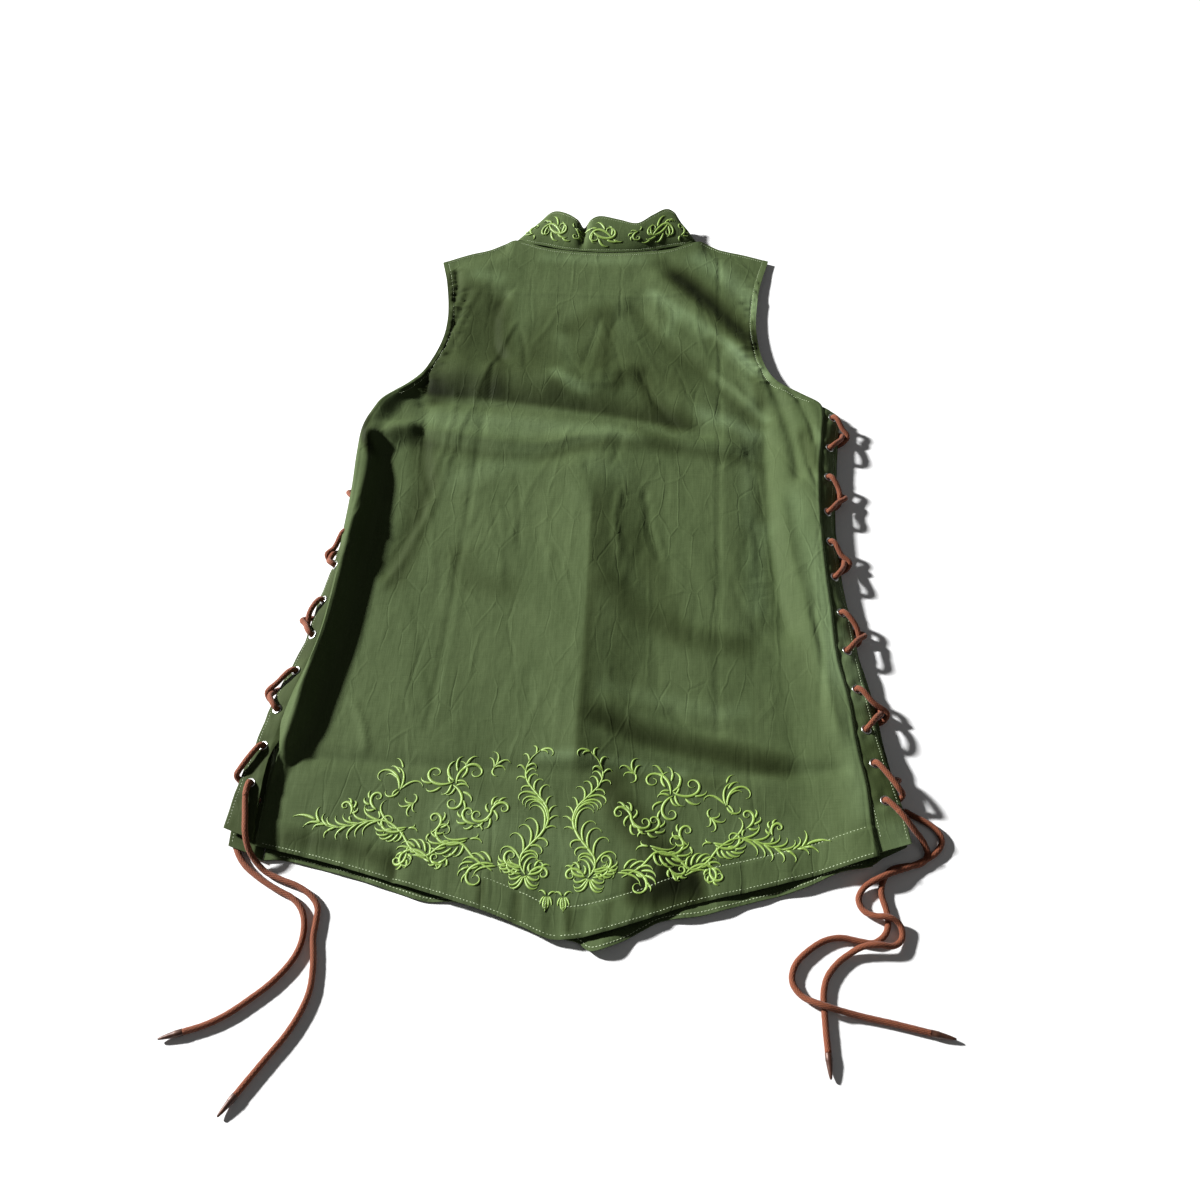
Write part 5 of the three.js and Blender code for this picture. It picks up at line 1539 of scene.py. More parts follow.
@dataclass
class Lacing:
    """The lace of one side: crossed over the edges between eyelets 1 and 2, 3 and 4, and so on."""

    side: Side
    edge_clear: float = 3.9
    outer_extra: float = CORD + 0.5
    over_cloth: float = 4.4
    turn_height: float = 4.9
    crossing_height: float = 9.8
    leave_back: tuple[float, float] = (3.4, 5.6)
    leave_front: tuple[float, float] = (3.1, 3.85)

    def stop(self, layer: str, i: int) -> Stop:
        """Layer, middle and outward normal of eyelet i of a placket."""
        return (layer, *self.side.eyelet(layer, i))

    def at(self, out: float, y: float, z: float) -> Array:
        """A distance out from the centre line, a length and a height, as a place on this side."""
        return np.array([out * self.side.sign, y, z])

    def edge_point(self, layer: str, y: float, out: float, over: float = 0.0) -> Array:
        """Place on a placket's edge: out from it, and over it on the back one.

        Args:
            layer: Which placket, back or front.
            y: Place along the side.
            out: Distance out from the edge.
            over: Distance over the back placket.

        Returns:
            The place.
        """
        edge = float(self.side.outer(layer, y))
        if layer == "front":
            return self.at(edge + out, y, CORD / 2 + 0.25)
        top = float(self.side.top("back", edge, y))
        rise = top - float(self.side.top("back", edge - 1, y))
        tilt = math.hypot(1, rise)
        return self.at(edge + out - over * rise / tilt, y, top + over / tilt)

    def clear_of(self, y: float) -> float:
        """Distance out of a strand that clears both plackets' edges."""
        return max(float(self.side.outer(k, y)) for k in ("back", "front")) + self.edge_clear

    def leave(self, stop: Stop, towards: Array) -> list[Array]:
        """Places where the cord comes out of an eyelet and turns towards the edge.

        Args:
            stop: The eyelet.
            towards: Where the cord goes next.

        Returns:
            Two places.
        """
        layer, point, normal = stop
        turn = towards - point
        turn = unit(turn - normal * turn.dot(normal))
        rise, clear = self.leave_back if layer == "back" else self.leave_front
        return [point + normal * rise + turn * 0.2, point + normal * clear + turn * 4.4]

    def cross(self, start: Stop, end: Stop, outer: bool) -> list[Array]:
        """Strand from one eyelet over the edges to the next eyelet of the other placket.

        Args:
            start: Eyelet that the cord leaves.
            end: Eyelet that it reaches.
            outer: Whether it crosses over the other strand.

        Returns:
            Places along the cord.
        """
        extra = self.outer_extra if outer else 0.0
        halves = []
        for stop, share in ((start, 0.32), (end, 0.68)):
            y = level(start, end, share)
            if stop[0] == "back":
                half = [self.edge_point("back", y, 0.5, self.over_cloth)]
            else:
                turn = level(start, end, share * 0.7 + 0.15)
                out = self.clear_of(y) - 0.3 + extra * 0.3
                half = [self.edge_point("front", y, 0.3), self.at(out, turn, self.turn_height)]
            halves.append([*self.leave(stop, half[0]), *half])
        y = level(start, end, 0.5)
        middle = self.at(self.clear_of(y) + extra, y, self.crossing_height)
        return [*halves[0], middle, *halves[1][::-1]]

    def bar(self, start: Stop, end: Stop) -> list[Array]:
        """Straight run inside, from one eyelet to the next on the same placket.

        Args:
            start: Eyelet that the cord leaves.
            end: Eyelet that it reaches.

        Returns:
            Places along the cord.
        """
        onward = np.array([0, math.copysign(1, end[1][1] - start[1][1]), 0])
        steps = ((start, 3.2, 0.8), (start, 4.2, 5), (end, 4.2, -5), (end, 3.2, -0.8))
        return [stop[1] - stop[2] * depth + onward * shift for stop, depth, shift in steps]

    def strand(self, layer: str) -> list[Array]:
        """Strand from eyelet 1 of a layer down to eyelet 11 of the other layer.

        Args:
            layer: Placket of its first eyelet.

        Returns:
            Places along the cord.
        """
        points: list[Array] = []
        here, there = layer, "front" if layer == "back" else "back"
        for i in range(0, 10, 2):
            start, end = self.stop(here, i), self.stop(there, i + 1)
            outer = (here == "back") == (i % 4 == 0)
            points += [start[1], *self.cross(start, end, outer), end[1]]
            points += self.bar(end, self.stop(there, i + 2))
            here, there = there, here
        return [*points, self.stop(here, 10)[1]]

    def last_from_back(self) -> list[Array]:
        """Last crossing out of back eyelet 11: over the back edge and in to front eyelet 12.

        Returns:
            Places along the cord.
        """
        start, end = self.stop("back", 10), self.stop("front", 11)
        rim = self.edge_point("back", level(start, end, 0.5), 0.5, self.over_cloth - 0.2)
        y = level(start, end, 0.6)
        edge = float(self.side.outer("back", y))
        rise, clear = self.leave_front
        tail = (
            (5, 3.6, 4.1), (0.5, 0.4, 3), (0, 0, 0), (0.5, 0, -rise), (4.6, 1, -clear),
            (12, 2.4, -clear),
        )
        return [
            *self.leave(start, rim), rim, self.at(edge + 4.3, y, rim[2] - 5),
            self.at(edge + 0.5, level(start, end, 0.68), 11.1),
            *[end[1] + self.at(*step) for step in tail],
        ]

    def last_from_front(self) -> list[Array]:
        """Last crossing out of front eyelet 11: round the front edge and up to back eyelet 12.

        Returns:
            Places along the cord.
        """
        start, end = self.stop("front", 10), self.stop("back", 11)
        under = self.edge_point("front", level(start, end, 0.22), 0.3)
        y = level(start, end, 0.3)
        edge = float(self.side.outer("front", y))
        tail = ((-5, 4.5, 4.5), (-3, 0, 0), (0, 0, 0), (3.3, 0.1, -0.2), (5.6, 2, -3.6))
        return [
            *self.leave(start, under), under, self.at(edge + 4.6, y, 6.8),
            self.at(edge + 0.5, level(start, end, 0.4), 10.9),
            *[end[1] + end[2] * depth + self.at(x, y, 0) for depth, x, y in tail],
        ]

    def places(self) -> list[Array]:
        """Whole laced run, from back eyelet 12 round to front eyelet 12."""
        first = [*self.strand("back"), *self.last_from_front()]
        second = [*self.strand("front"), *self.last_from_back()]
        inside = [point - normal * 2.8 for _, point, normal in map(self.stop, LAYERS, (0, 0))]
        return [*first[::-1], *inside, *second]


@dataclass
class TipModel:
    """Tapered tip of a lace, modelled once along +Z from its open end."""

    radius: float = CORD / 2 * MM + 0.0002
    barrel: float = 0.006
    taper: tuple[tuple[float, float], ...] = (
        (0.0003, 0.93), (0.0045, 0.85), (0.005, 0.72), (0.0035, 0.6), (0.0007, 0.4)
    )

    def build(self) -> Piece:
        """Builds the tip from a cylinder by extruding and scaling its end.

        Returns:
            The model, to be copied.
        """
        select_only()
        bpy.ops.mesh.primitive_cylinder_add(
            vertices=20, radius=self.radius, depth=self.barrel, location=(0, 0, self.barrel / 2)
        )
        tip = bpy.context.object
        bpy.ops.object.transform_apply(location=True, rotation=True, scale=True)
        bpy.ops.object.mode_set(mode="EDIT")
        bpy.ops.mesh.select_mode(type="FACE")
        bpy.ops.mesh.select_all(action="DESELECT")
        bpy.ops.object.mode_set(mode="OBJECT")
        for polygon in tip.data.polygons:
            polygon.select = polygon.normal.z > 0.9
        bpy.ops.object.mode_set(mode="EDIT")
        for rise, scale in self.taper:
            bpy.ops.mesh.extrude_region_move(TRANSFORM_OT_translate={"value": (0, 0, rise)})
            bpy.ops.transform.resize(value=(scale, scale, 1))
        bpy.ops.object.mode_set(mode="OBJECT")
        bevel = tip.modifiers.new("rounding", "BEVEL")
        bevel.width, bevel.segments = 0.00025, 2
        bevel.limit_method, bevel.angle_limit = "ANGLE", math.radians(25)
        bpy.ops.object.modifier_apply(modifier=bevel.name)
        round_off(tip, 40)
        return tip


@dataclass
class Cords:
    """Laces: the laced runs, which the eyelets hold, and the four free ends with their tips."""

    palette: Palette
    sides: list[Side]
    step: float = 1.7
    sides_round: int = 14

    def build(self) -> None:
        """Builds and dresses all the laces."""
        for side in self.sides:
            line = spline(self.joined(side), self.step, 10)
            piece = self.cord_piece(f"cord_laced_{side.label}", line)
            self.palette.dress(piece, Finish.LACE, "cord", f"lace_{side.label}")
            log.info("laced run %s: %.0f mm", side.label, distances(line)[-1])
        model = TipModel().build()
        for name, points in FREE_ENDS.items():
            line = spline(points, self.step, 30)
            piece = self.cord_piece(f"cord_end_{name}", line)
            tip = set_copy(model, f"tip_{name}", line[-1], line[-1] - line[-4])
            self.palette.dress(piece, Finish.LACE, "cord", f"lace_end_{name}")
            self.palette.dress(tip, Finish.TIP, "aglet_metal", f"aglet_{name}")
            length = distances(line)[-1]
            log.info("free end %s: %.0f mm", name, length)
        bpy.data.objects.remove(model)

    def joined(self, side: Side) -> list[Array]:
        """Laced run of a side, carried a little way into both of its free ends.

        Args:
            side: Side of the garment.

        Returns:
            Places along the cord.
        """
        ends = [np.array(FREE_ENDS[f"{side.label}_{k}"][:2], float) for k in LAYERS]
        back, front = ([start + (on - start) * 0.4, start] for start, on in ends)
        return [*back, *Lacing(side).places()[1:-1], *front[::-1]]

    def cord_piece(self, name: str, line: Array) -> Piece:
        """Makes the tube of a cord, a little uneven as a soft braid is.

        Args:
            name: Name of the piece.
            line: Places of its middle line.

        Returns:
            The piece.
        """
        far = np.arange(len(line)) * self.step
        uneven = 1 + 0.018 * np.sin(far * 0.9) + 0.012 * np.sin(far * 0.37 + 1)
        return tube(name, line, CORD / 2 * uneven, self.sides_round)


# Plackets and eyelets


@dataclass
class Plackets:
    """The back and front plackets of one side, with their eyelet holes."""

    palette: Palette
    side: Side
    step: float = 1.9
    length: float = 0.51

    def top(self, layer: str, x: Array, y: Array) -> Array:
        """Upper face of a placket, with dents round its eyelets and waves along its edge.

        Args:
            layer: Which placket, back or front.
            x: Places across.
            y: Places along.

        Returns:
            The heights.
        """
        side, back = self.side, layer == "back"
        z = side.top(layer, x, y)
        for i in range(side.count):
            point, _ = side.eyelet(layer, i)
            dx, dy = x - point[0] * side.sign, y - point[1]
            far = np.hypot(dx, dy)
            ripple = np.sin(3 * np.arctan2(dy, dx) + i * 1.7)
            z = z - 0.6 * bump(9, far) + 0.55 * ripple * bump(7, far - 9)
        outer = side.outer(layer, y)
        inner = side.seam(y) if back else outer - PLACKET_WIDTH
        share, edge = np.clip((x - inner) / (outer - inner), 0, 1), outer - x
        wave = 0.5 * np.sin(y * 0.21 + 2 * side.sign) + 0.35 * np.sin(y * 0.083)
        z = z + wave * ease(0.6, 1, share) - 0.5 * (1 - ease(0, 1.4, edge))
        for inset in PLACKET_ROWS[layer]:
            z = z - 0.3 * bump(1.1, edge - inset)
        return z

    def build(self) -> None:
        """Builds and dresses both plackets of the side."""
        for layer, width in (("back", 0.037), ("front", PLACKET_WIDTH * MM)):
            piece = self.placket(layer)
            # Painted light and shade on the placket, written as its tone
            shade_by(piece, PLACKET_PAINTED_SHADING)
            node = f"{layer}_placket_{self.side.label}"
            self.palette.dress(piece, Finish.PLACKET, "placket_cloth", node)

    def placket(self, layer: str) -> Piece:
        """Makes one placket as a thin shell with its eyelet holes.

        Args:
            layer: Which placket, back or front.

        Returns:
            The piece.
        """
        side = self.side
        bottom, top = side.bottom(layer), side.table["top"]
        count = int((top[0] - bottom[0]) / self.step)
        shares = np.r_[0, 0.02, 0.05, np.linspace(0.09, 0.91, 20), 0.95, 0.98, 1]
        inner_y, outer_y = (np.linspace(bottom[k], top[k], count)[:, None] for k in (0, 1))
        y = inner_y + (outer_y - inner_y) * shares
        outer = side.outer(layer, y)
        inner = outer - PLACKET_WIDTH
        if layer == "back":
            inner = side.seam(y) - along(side.table["overlap"], y)
            inner = np.minimum(inner, outer - side.least_width)
        x = inner + (outer - inner) * shares
        keep = np.ones((count - 1, len(shares) - 1), bool)
        for i in range(side.count):
            point, _ = side.eyelet(layer, i)
            x, y = self.open_hole(x, y, point[0] * side.sign, point[1], keep)
        rows = np.dstack([x * side.sign, y, self.top(layer, x, y)])
        if side.sign < 0:
            rows, keep = rows[:, ::-1], keep[:, ::-1]
        name = f"placket_{layer}_{side.label}"
        return cloth_shell(name, rows, PLACKET_CLOTH, flat_uv(rows), keep)

    def open_hole(
        self, x: Array, y: Array, cx: float, cy: float, keep: Array
    ) -> tuple[Array, Array]:
        """Takes the cells inside a hole away and rounds the cells beside it.

        Args:
            x: Places across.
            y: Places along.
            cx: Middle of the hole, across.
            cy: Middle of the hole, along.
            keep: Cells that are there; those of the hole are cleared.

        Returns:
            The places with the hole's rim pushed onto a circle.
        """
        radius = EYELET_HOLE / 2
        far = np.hypot(x - cx, y - cy)
        inside = far < radius
        keep[inside[:-1, :-1] | inside[1:, :-1] | inside[:-1, 1:] | inside[1:, 1:]] = False
        near = (far >= radius) & (far < radius + 2.2)
        pull = np.where(near, (radius + (far - radius) * 0.3) / np.maximum(far, 1e-6), 1)
        return cx + (x - cx) * pull, cy + (y - cy) * pull


@dataclass
class Eyelets:
    """Nickel eyelets of one side: a rolled rim and a barrel through the cloth."""

    palette: Palette
    side: Side
    wire: float = 0.7
    sunk: float = 0.3

    def model(self) -> Piece:
        """Builds one eyelet along +Z with its cloth face at the origin.

        Returns:
            The model, to be copied.
        """
        select_only()
        bpy.ops.mesh.primitive_torus_add(
            major_segments=28, minor_segments=8, minor_radius=self.wire * MM,
            major_radius=(EYELET_RIM / 2 - self.wire) * MM,
        )
        rim = bpy.context.object
        bpy.ops.transform.resize(value=(1, 1, 0.7))
        bpy.ops.transform.translate(value=(0, 0, 0.25 * MM))
        bpy.ops.object.transform_apply(location=True, rotation=True, scale=True)
        select_only()
        bpy.ops.mesh.primitive_cylinder_add(
            vertices=28, radius=(EYELET_HOLE / 2 - 0.05) * MM, depth=2.9 * MM,
            end_fill_type="NOTHING", location=(0, 0, -1.0 * MM),
        )
        barrel = bpy.context.object
        bpy.ops.object.transform_apply(location=True, rotation=True, scale=True)
        wall = barrel.modifiers.new("wall", "SOLIDIFY")
        wall.thickness, wall.offset = 0.3 * MM, -1
        bpy.ops.object.modifier_apply(modifier=wall.name)
        join([rim, barrel])
        round_off(rim, 50)
        return rim

    def build(self) -> None:
        """Sets the eyelets of both plackets of the side."""
        model, label = self.model(), self.side.label
        for layer, sunk in zip(LAYERS, (self.sunk, 0)):
            copies = []
            for i in range(self.side.count):
                point, normal = self.side.eyelet(layer, i)
                seat = point + normal * (PLACKET_CLOTH / 2 - sunk)
                copies.append(set_copy(model, f"eyelets_{layer}_{label}", seat, normal))
            nodes = [f"eyelet_{label}_{i + 1}" for i in range(self.side.count)]
            piece = join(copies)
            own = nodes if layer == "back" else ()
            self.palette.dress(piece, Finish.NICKEL, "eyelet_metal", *own)
            log.info("%s set", piece.name)
        bpy.data.objects.remove(model)


# Collar


@dataclass
class CollarCloth:
    """Stand collar: its surface by the way round (millimetres from the back's middle) and up."""

    height_up: float = 50.0
    bow: float = 2.4
    sections: int = 420

    def __post_init__(self) -> None:
        """Works out the base and the top edge of the whole ring."""
        back = [[x, y, COLLAR_BASE_HEIGHT, *top] for x, y, *top in COLLAR_BACK]
        folds = []
        for (x, y, _, tx, ty, tz), shift in ((back[0], -COLLAR_FOLD), (back[-1], COLLAR_FOLD)):
            folds.append([x + shift, y, COLLAR_FOLD_HEIGHT, tx + shift, ty, tz / 2])
        front = [self.front_section(share) for share in COLLAR_FRONT_SHARES]
        other = [self.front_section(-share) for share in COLLAR_FRONT_SHARES]
        ring = [*other, folds[0], *back, folds[1], *front[::-1]]
        table = np.c_[np.linspace(0, 1, len(ring)), ring]
        steps = np.linspace(0, 1, self.sections)
        edges = np.stack([along(table, steps, k) for k in range(1, 7)], 1)
        self.base, self.top = edges[:, :3], edges[:, 3:]
        far = distances(self.base)
        self.far = far - far[np.argmin(np.abs(self.base[:, 0]) + 1000 * (self.base[:, 2] < 5))]

    def front_section(self, share: float) -> list[float]:
        """Base and top of the collar's front half, which lies under the back.

        Args:
            share: Share of the way out from the middle.

        Returns:
            x, y and z of the base, then of the top edge.
        """
        x, z = share * NECK_HALF, COLLAR_UNDER_HEIGHT + COLLAR_CLOTH
        neck = float(along(FRONT_NECK, x))
        return [x, neck + COLLAR_SEAM, z, x * COLLAR_NARROWING, neck + COLLAR_UNDER_RISE, z]

    def place(self, s: Array, t: Array) -> Array:
        """Places on the outer face.

        Args:
            s: Way round from the back's middle, in millimetres.
            t: Way up, in millimetres.

        Returns:
            The places.
        """
        s, t = np.asarray(s, float), np.asarray(t, float)
        low, high = (
            np.stack([np.interp(s, self.far, edge[:, k]) for k in range(3)], -1)
            for edge in (self.base, self.top)
        )
        share = t / self.height_up
        p = low + (high - low) * share[..., None]
        over = np.clip((p[..., 2] - 4) / 6, 0, 1)
        lift = self.bow * np.sin(np.pi * np.clip(share, 0, 1)) * over
        seam = 0.4 * bump(1.2, t - COLLAR_ROWS[0]) + 0.3 * bump(1.2, t - COLLAR_ROWS[1])
        p[..., 1] -= 0.5 * lift
        p[..., 2] += lift - seam * over
        return p


@dataclass
class Collar:
    """The stand collar, doubled and stiffened."""

    palette: Palette
    cloth: CollarCloth

    def build(self) -> None:
        ways = np.linspace(self.cloth.far[0], self.cloth.far[-1], 330)
        ups = np.r_[0, 1, 2, 3, 4, np.linspace(5.5, 44.5, 18), 46, 47, 48, 49.2, 50]
        s, t = np.meshgrid(ways, ups)
        rows = self.cloth.place(s, t)
        piece = cloth_shell("collar_shell", rows, COLLAR_CLOTH, np.dstack([s, t]) * MM)
        self.palette.dress(piece, Finish.COLLAR, "collar_cloth", "collar")


# Thread work


def frame_at(place: Place, a: Array, b: Array) -> tuple[Array, Array]:
    """Places on a surface at two flat coordinates, and its unit normals there.

    Args:
        place: Surface, as a function of two flat coordinates.
        a: First coordinates.
        b: Second coordinates.

    Returns:
        The places and the normals.
    """
    h = 0.4
    n = np.cross(place(a + h, b) - place(a - h, b), place(a, b + h) - place(a, b - h))
    return place(a, b), unit(n)


@dataclass
class ThreadWork:
    """Thread laid on a cloth, gathered up for one piece."""

    palette: Palette
    name: str
    points: list[Array] = field(default_factory=list, init=False)
    faces: list[list[int]] = field(default_factory=list, init=False)
    flat: list[Array] = field(default_factory=list, init=False)
    count: int = field(default=0, init=False)
    finish: Finish = field(default=Finish.SATIN, init=False)

    def gather(self, points: Array, faces: Sequence, flat: Array) -> None:
        """Adds a small mesh, with the flat places of its points in millimetres.

        Args:
            points: Its points.
            faces: Corners of its faces.
            flat: Its flat places.
        """
        self.points.append(points)
        self.faces += [[v + self.count for v in face] for face in faces]
        self.flat.append(flat * MM)
        self.count += len(points)

    def build(self) -> None:
        """Makes and dresses one piece of all the thread so far."""
        piece = new_piece(self.name, np.vstack(self.points), self.faces, np.vstack(self.flat))
        self.palette.dress(piece, self.finish, "cloth")


@dataclass
class Stitching(ThreadWork):
    """Rows of machine stitches, each a small rounded stitch copied along a line."""

    long: float = 2.3
    pitch: float = 3.1
    wide: float = 0.8
    high: float = 0.6

    def __post_init__(self) -> None:
        """Models one stitch from a small sphere."""
        self.finish = Finish.STITCH
        select_only()
        bpy.ops.mesh.primitive_uv_sphere_add(segments=6, ring_count=4, radius=0.5)
        model = bpy.context.object
        bpy.ops.transform.resize(value=(self.long, self.wide, self.high))
        bpy.ops.object.transform_apply(location=True, rotation=True, scale=True)
        self.model_points = np.array([v.co for v in model.data.vertices])
        self.model_faces = [list(p.vertices) for p in model.data.polygons]
        bpy.data.objects.remove(model)

    def run(self, place: Place, line: Sequence) -> None:
        """Sews along a line of flat places on a surface.

        Args:
            place: Surface of the cloth.
            line: Flat places of the seam.
        """
        steps = even(np.asarray(line, float), self.pitch)
        p, n = frame_at(place, *((steps[1:] + steps[:-1]) / 2).T)
        onward = unit(np.diff(place(*steps.T), axis=0))
        side = np.cross(n, onward)
        x, y, z = np.split(self.model_points, 3, axis=1)
        for k in range(len(p)):
            made = p[k] + x * onward[k] + y * side[k] + (z + 0.2) * n[k]
            self.gather(made, self.model_faces, np.hstack([y, x + self.count * 0.01]))


@dataclass
class Stroke:
    """One satin-stitched stroke: start, heading in degrees, length, bend at both ends and width.

    Bends are in degrees turned for each millimetre, left above zero. The power says how late
    the bend changes, so that a high one leaves a curl at the far end.
    """

    x: float
    y: float
    heading: float
    length: float
    bend: float
    bend_end: float
    width: float
    power: float = 1.0

    def line(self) -> Array:
        """Middle line of the stroke, in finer steps where it curls.

        Returns:
            Flat places along the stroke.
        """
        curled = abs(self.bend) + abs(self.bend_end) > 12
        steps = int(np.clip(self.length / (1.1 if curled else 1.7), 9, 44))
        t = (np.arange(steps) + 0.5) / steps
        rate = self.bend + (self.bend_end - self.bend) * t**self.power
        step = self.length / steps
        turn = math.radians(1) * (self.heading + np.cumsum(rate) * step)
        run = np.stack([np.cos(turn), np.sin(turn)], 1) * step
        return np.vstack([(0, 0), np.cumsum(run, axis=0)]) + (self.x, self.y)


@dataclass
class Embroidery(ThreadWork):
    """Raised satin stitch made of strokes, each a domed ribbon laid on the cloth."""

    place: Place
    axis: float | None = None
    profile: tuple[tuple[float, float], ...] = (
        (-1, -0.3), (-0.72, 0.55), (0, 1), (0.72, 0.55), (1, -0.3)
    )

    def sew(self, line: Array, width: float, blunt: float = 0.0) -> None:
        """Sews one stroke along a flat line, and its mirror image.

        Args:
            line: Flat places of its middle line.
            width: Largest width.
            blunt: Share of the width kept at both ends.
        """
        shares = np.linspace(0, 1, len(line))
        self.lay(line, shares, width, blunt)
        if self.axis is not None:
            other = np.stack([2 * self.axis - line[:, 0], line[:, 1]], 1)
            self.lay(other[::-1], shares[::-1], width, blunt)

    def lay(self, line: Array, shares: Array, width: float, blunt: float) -> None:
        """Lays one ribbon.

        Args:
            line: Flat places of its middle line.
            shares: Share of the stroke at each place, from its thick end.
            width: Largest width.
            blunt: Share of the width kept at both ends.
        """
        swell = np.sin(np.pi * shares**0.62) ** 0.75
        half = width * 0.55 * np.maximum(blunt + (1 - blunt) * swell, 0.16)
        tangent = unit(np.gradient(line, axis=0))
        normal = np.stack([-tangent[:, 1], tangent[:, 0]], 1)
        high = np.minimum(0.35 + 0.5 * half, 0.95)
        p, face = frame_at(self.place, *line.T)
        aside = self.place(*(line - normal * 0.5).T) - self.place(*(line + normal * 0.5).T)
        rings, flats = [], []
        for across, up in self.profile:
            rings.append(p + aside * (across * half)[:, None] + face * (up * high)[:, None])
            flats.append(np.stack([across * half, distances(line)], 1))
        k, last = len(self.profile), (len(line) - 1) * len(self.profile)
        faces = []
        for low in range(0, last, k):
            for a, b in zip(range(k), (*range(1, k), 0)):
                faces.append([low + a, low + k + a, low + k + b, low + b])
        faces += [range(k), range(last + k - 1, last - 1, -1)]
        self.gather(np.stack(rings, 1).reshape(-1, 3), faces, np.stack(flats, 1).reshape(-1, 2))

    def strokes(
        self, rows: Sequence[tuple], x: float = 0.0, y: float = 0.0, turn: float = 0.0,
        size: float = 1.0, hands: Sequence[int] = (1,),
    ) -> None:
        """Sews a motif: a list of strokes, each given by its values.

        Args:
            rows: Values of each stroke, in the motif's own frame.
            x: Place of the motif across.
            y: Place of the motif along.
            turn: Degrees by which the motif is turned.
            size: Scale of the motif.
            hands: 1 for the motif itself, -1 for its mirror image, or both.
        """
        c, d = math.cos(math.radians(turn)) * size, math.sin(math.radians(turn)) * size
        for u, v, heading, length, bend, bend_end, *rest in rows:
            for hand in hands:
                stroke = Stroke(
                    x + u * c - v * hand * d, y + u * d + v * hand * c, heading * hand + turn,
                    length * size, bend * hand / size, bend_end * hand / size, *rest,
                )
                self.sew(stroke.line(), stroke.width)

    def frond(
        self, stem: Array, hand: int, span: tuple[float, float], count: int,
        lengths: tuple[float, float], lean: float, bends: tuple[float, float], width: float,
    ) -> None:
        """Sews barbs of one shape that peel off a stem on one side.

        Args:
            stem: Even steps along the stem.
            hand: 1 for its left side, -1 for its right.
            span: Shares of the stem between which the barbs leave.
            count: How many barbs.
            lengths: Lengths of the first and the last barb.
            lean: Degrees by which a barb leaves the stem.
            bends: Bend at the start and at the end of the first barb.
            width: Width of a barb.
        """
        tangent = np.gradient(stem, axis=0)
        headings = np.degrees(np.arctan2(tangent[:, 1], tangent[:, 0]))
        for share in np.linspace(0, 1, count):
            k = int((span[0] + (span[1] - span[0]) * share) * (len(stem) - 1))
            size = 1 + (lengths[1] / lengths[0] - 1) * share
            row = (0, 0, lean, lengths[0], *bends, width, 2.0)
            self.strokes([row], *stem[k], headings[k], size, (hand,))


# Motifs: the values of each of their strokes

SCROLL = [
    (-5, -2, 34, 62, -2.2, -17.5, 3.0, 2.1), (-7, -4, 14, 26, -0.5, -9, 2.5, 2),
    (-3, 1, 84, 17, -1.5, -15, 2.6, 2), (2, 3.5, 66, 18, -1.5, -15, 2.6, 2),
    (7.5, 4.5, 46, 18, -1.5, -15, 2.6, 2), (12.5, 4, 24, 17, -1.5, -15, 2.5, 2),
    (17, 1, 0, 15, -1, -15, 2.4, 2), (19, -4, 336, 12, -1, -17, 2.2, 2),
    (9, 0, 330, 13, 4, 20, 2.2, 1.5), (-8, -3, 196, 13, -3, -16, 2.3, 2),
    (-9, -4, 160, 9, 5, 22, 2.0),
]
SMALL_SCROLL = [SCROLL[k] for k in (0, 2, 4, 6, 9)]
PALMETTE = [
    (2, 1, 10, 27, 1, 15, 2.6, 2), (2, 2, 30, 24, 0, 19, 2.6, 2), (1, 3, 54, 21, 0, 24, 2.6, 2),
    (-1, 4, 84, 34, 2, 17, 2.8, 2.2), (-4, 5, 110, 13, -2, 14, 2.2, 2),
]
SPRIG = [
    (-6, -1, 20, 20, 1, 19, 2.3, 2), (-5, 0, 4, 18, 0, -19, 2.3, 2),
    (-6, -1, 44, 13, 2, 22, 2.1, 2), (-5, 0, 340, 13, -2, -24, 2.1, 2),
    (-5, 0, 196, 13, 4, 16, 2.1),
]
ROCAILLE = [
    (-12, -4, 30, 46, 2, 13, 2.9, 2), (-12, -5, 10, 30, 1.4, 8, 2.4, 2),
    (-10, -5, 350, 26, -1, -14, 2.5, 2), (-4, 3, 76, 15, 1, 17, 2.4, 2),
    (2, 6, 60, 14, 1, 17, 2.3, 2), (8, 8, 44, 13, 1, 17, 2.1, 2),
    (-13, -5, 190, 20, -4, -17, 2.4, 1.5), (-12, -3, 150, 12, 4, 22, 2.1, 2),
]
DROP = [
    (0, 0, 0, 14, 0, 0, 3.0), (0, 1, 18, 12, -1, -6, 2.4), (0, 2, 40, 9, -2, -9, 2.1),
    (-1, 1, 160, 9, -6, -26, 2.1, 1.6),
]
VINE_TIP = [(0, 0, 0, 22, 1, 4, 3), (-5, 0, 20, 17, 0, 9, 2.6), (-5, 0, 340, 17, 0, -9, 2.6)]
PLUME_STEM = [
    [-29, 50], [-34, 58], [-34, 67], [-27, 77], [-18, 88], [-13, 101], [-16, 114], [-25, 125],
    [-34, 136], [-37, 147], [-33, 158], [-25, 166],
]
VINE = [
    [-58, 52], [-74, 62], [-88, 75], [-103, 73], [-118, 62], [-130, 68], [-142, 83], [-156, 92],
    [-172, 91], [-188, 86], [-203, 84], [-218, 90],
]


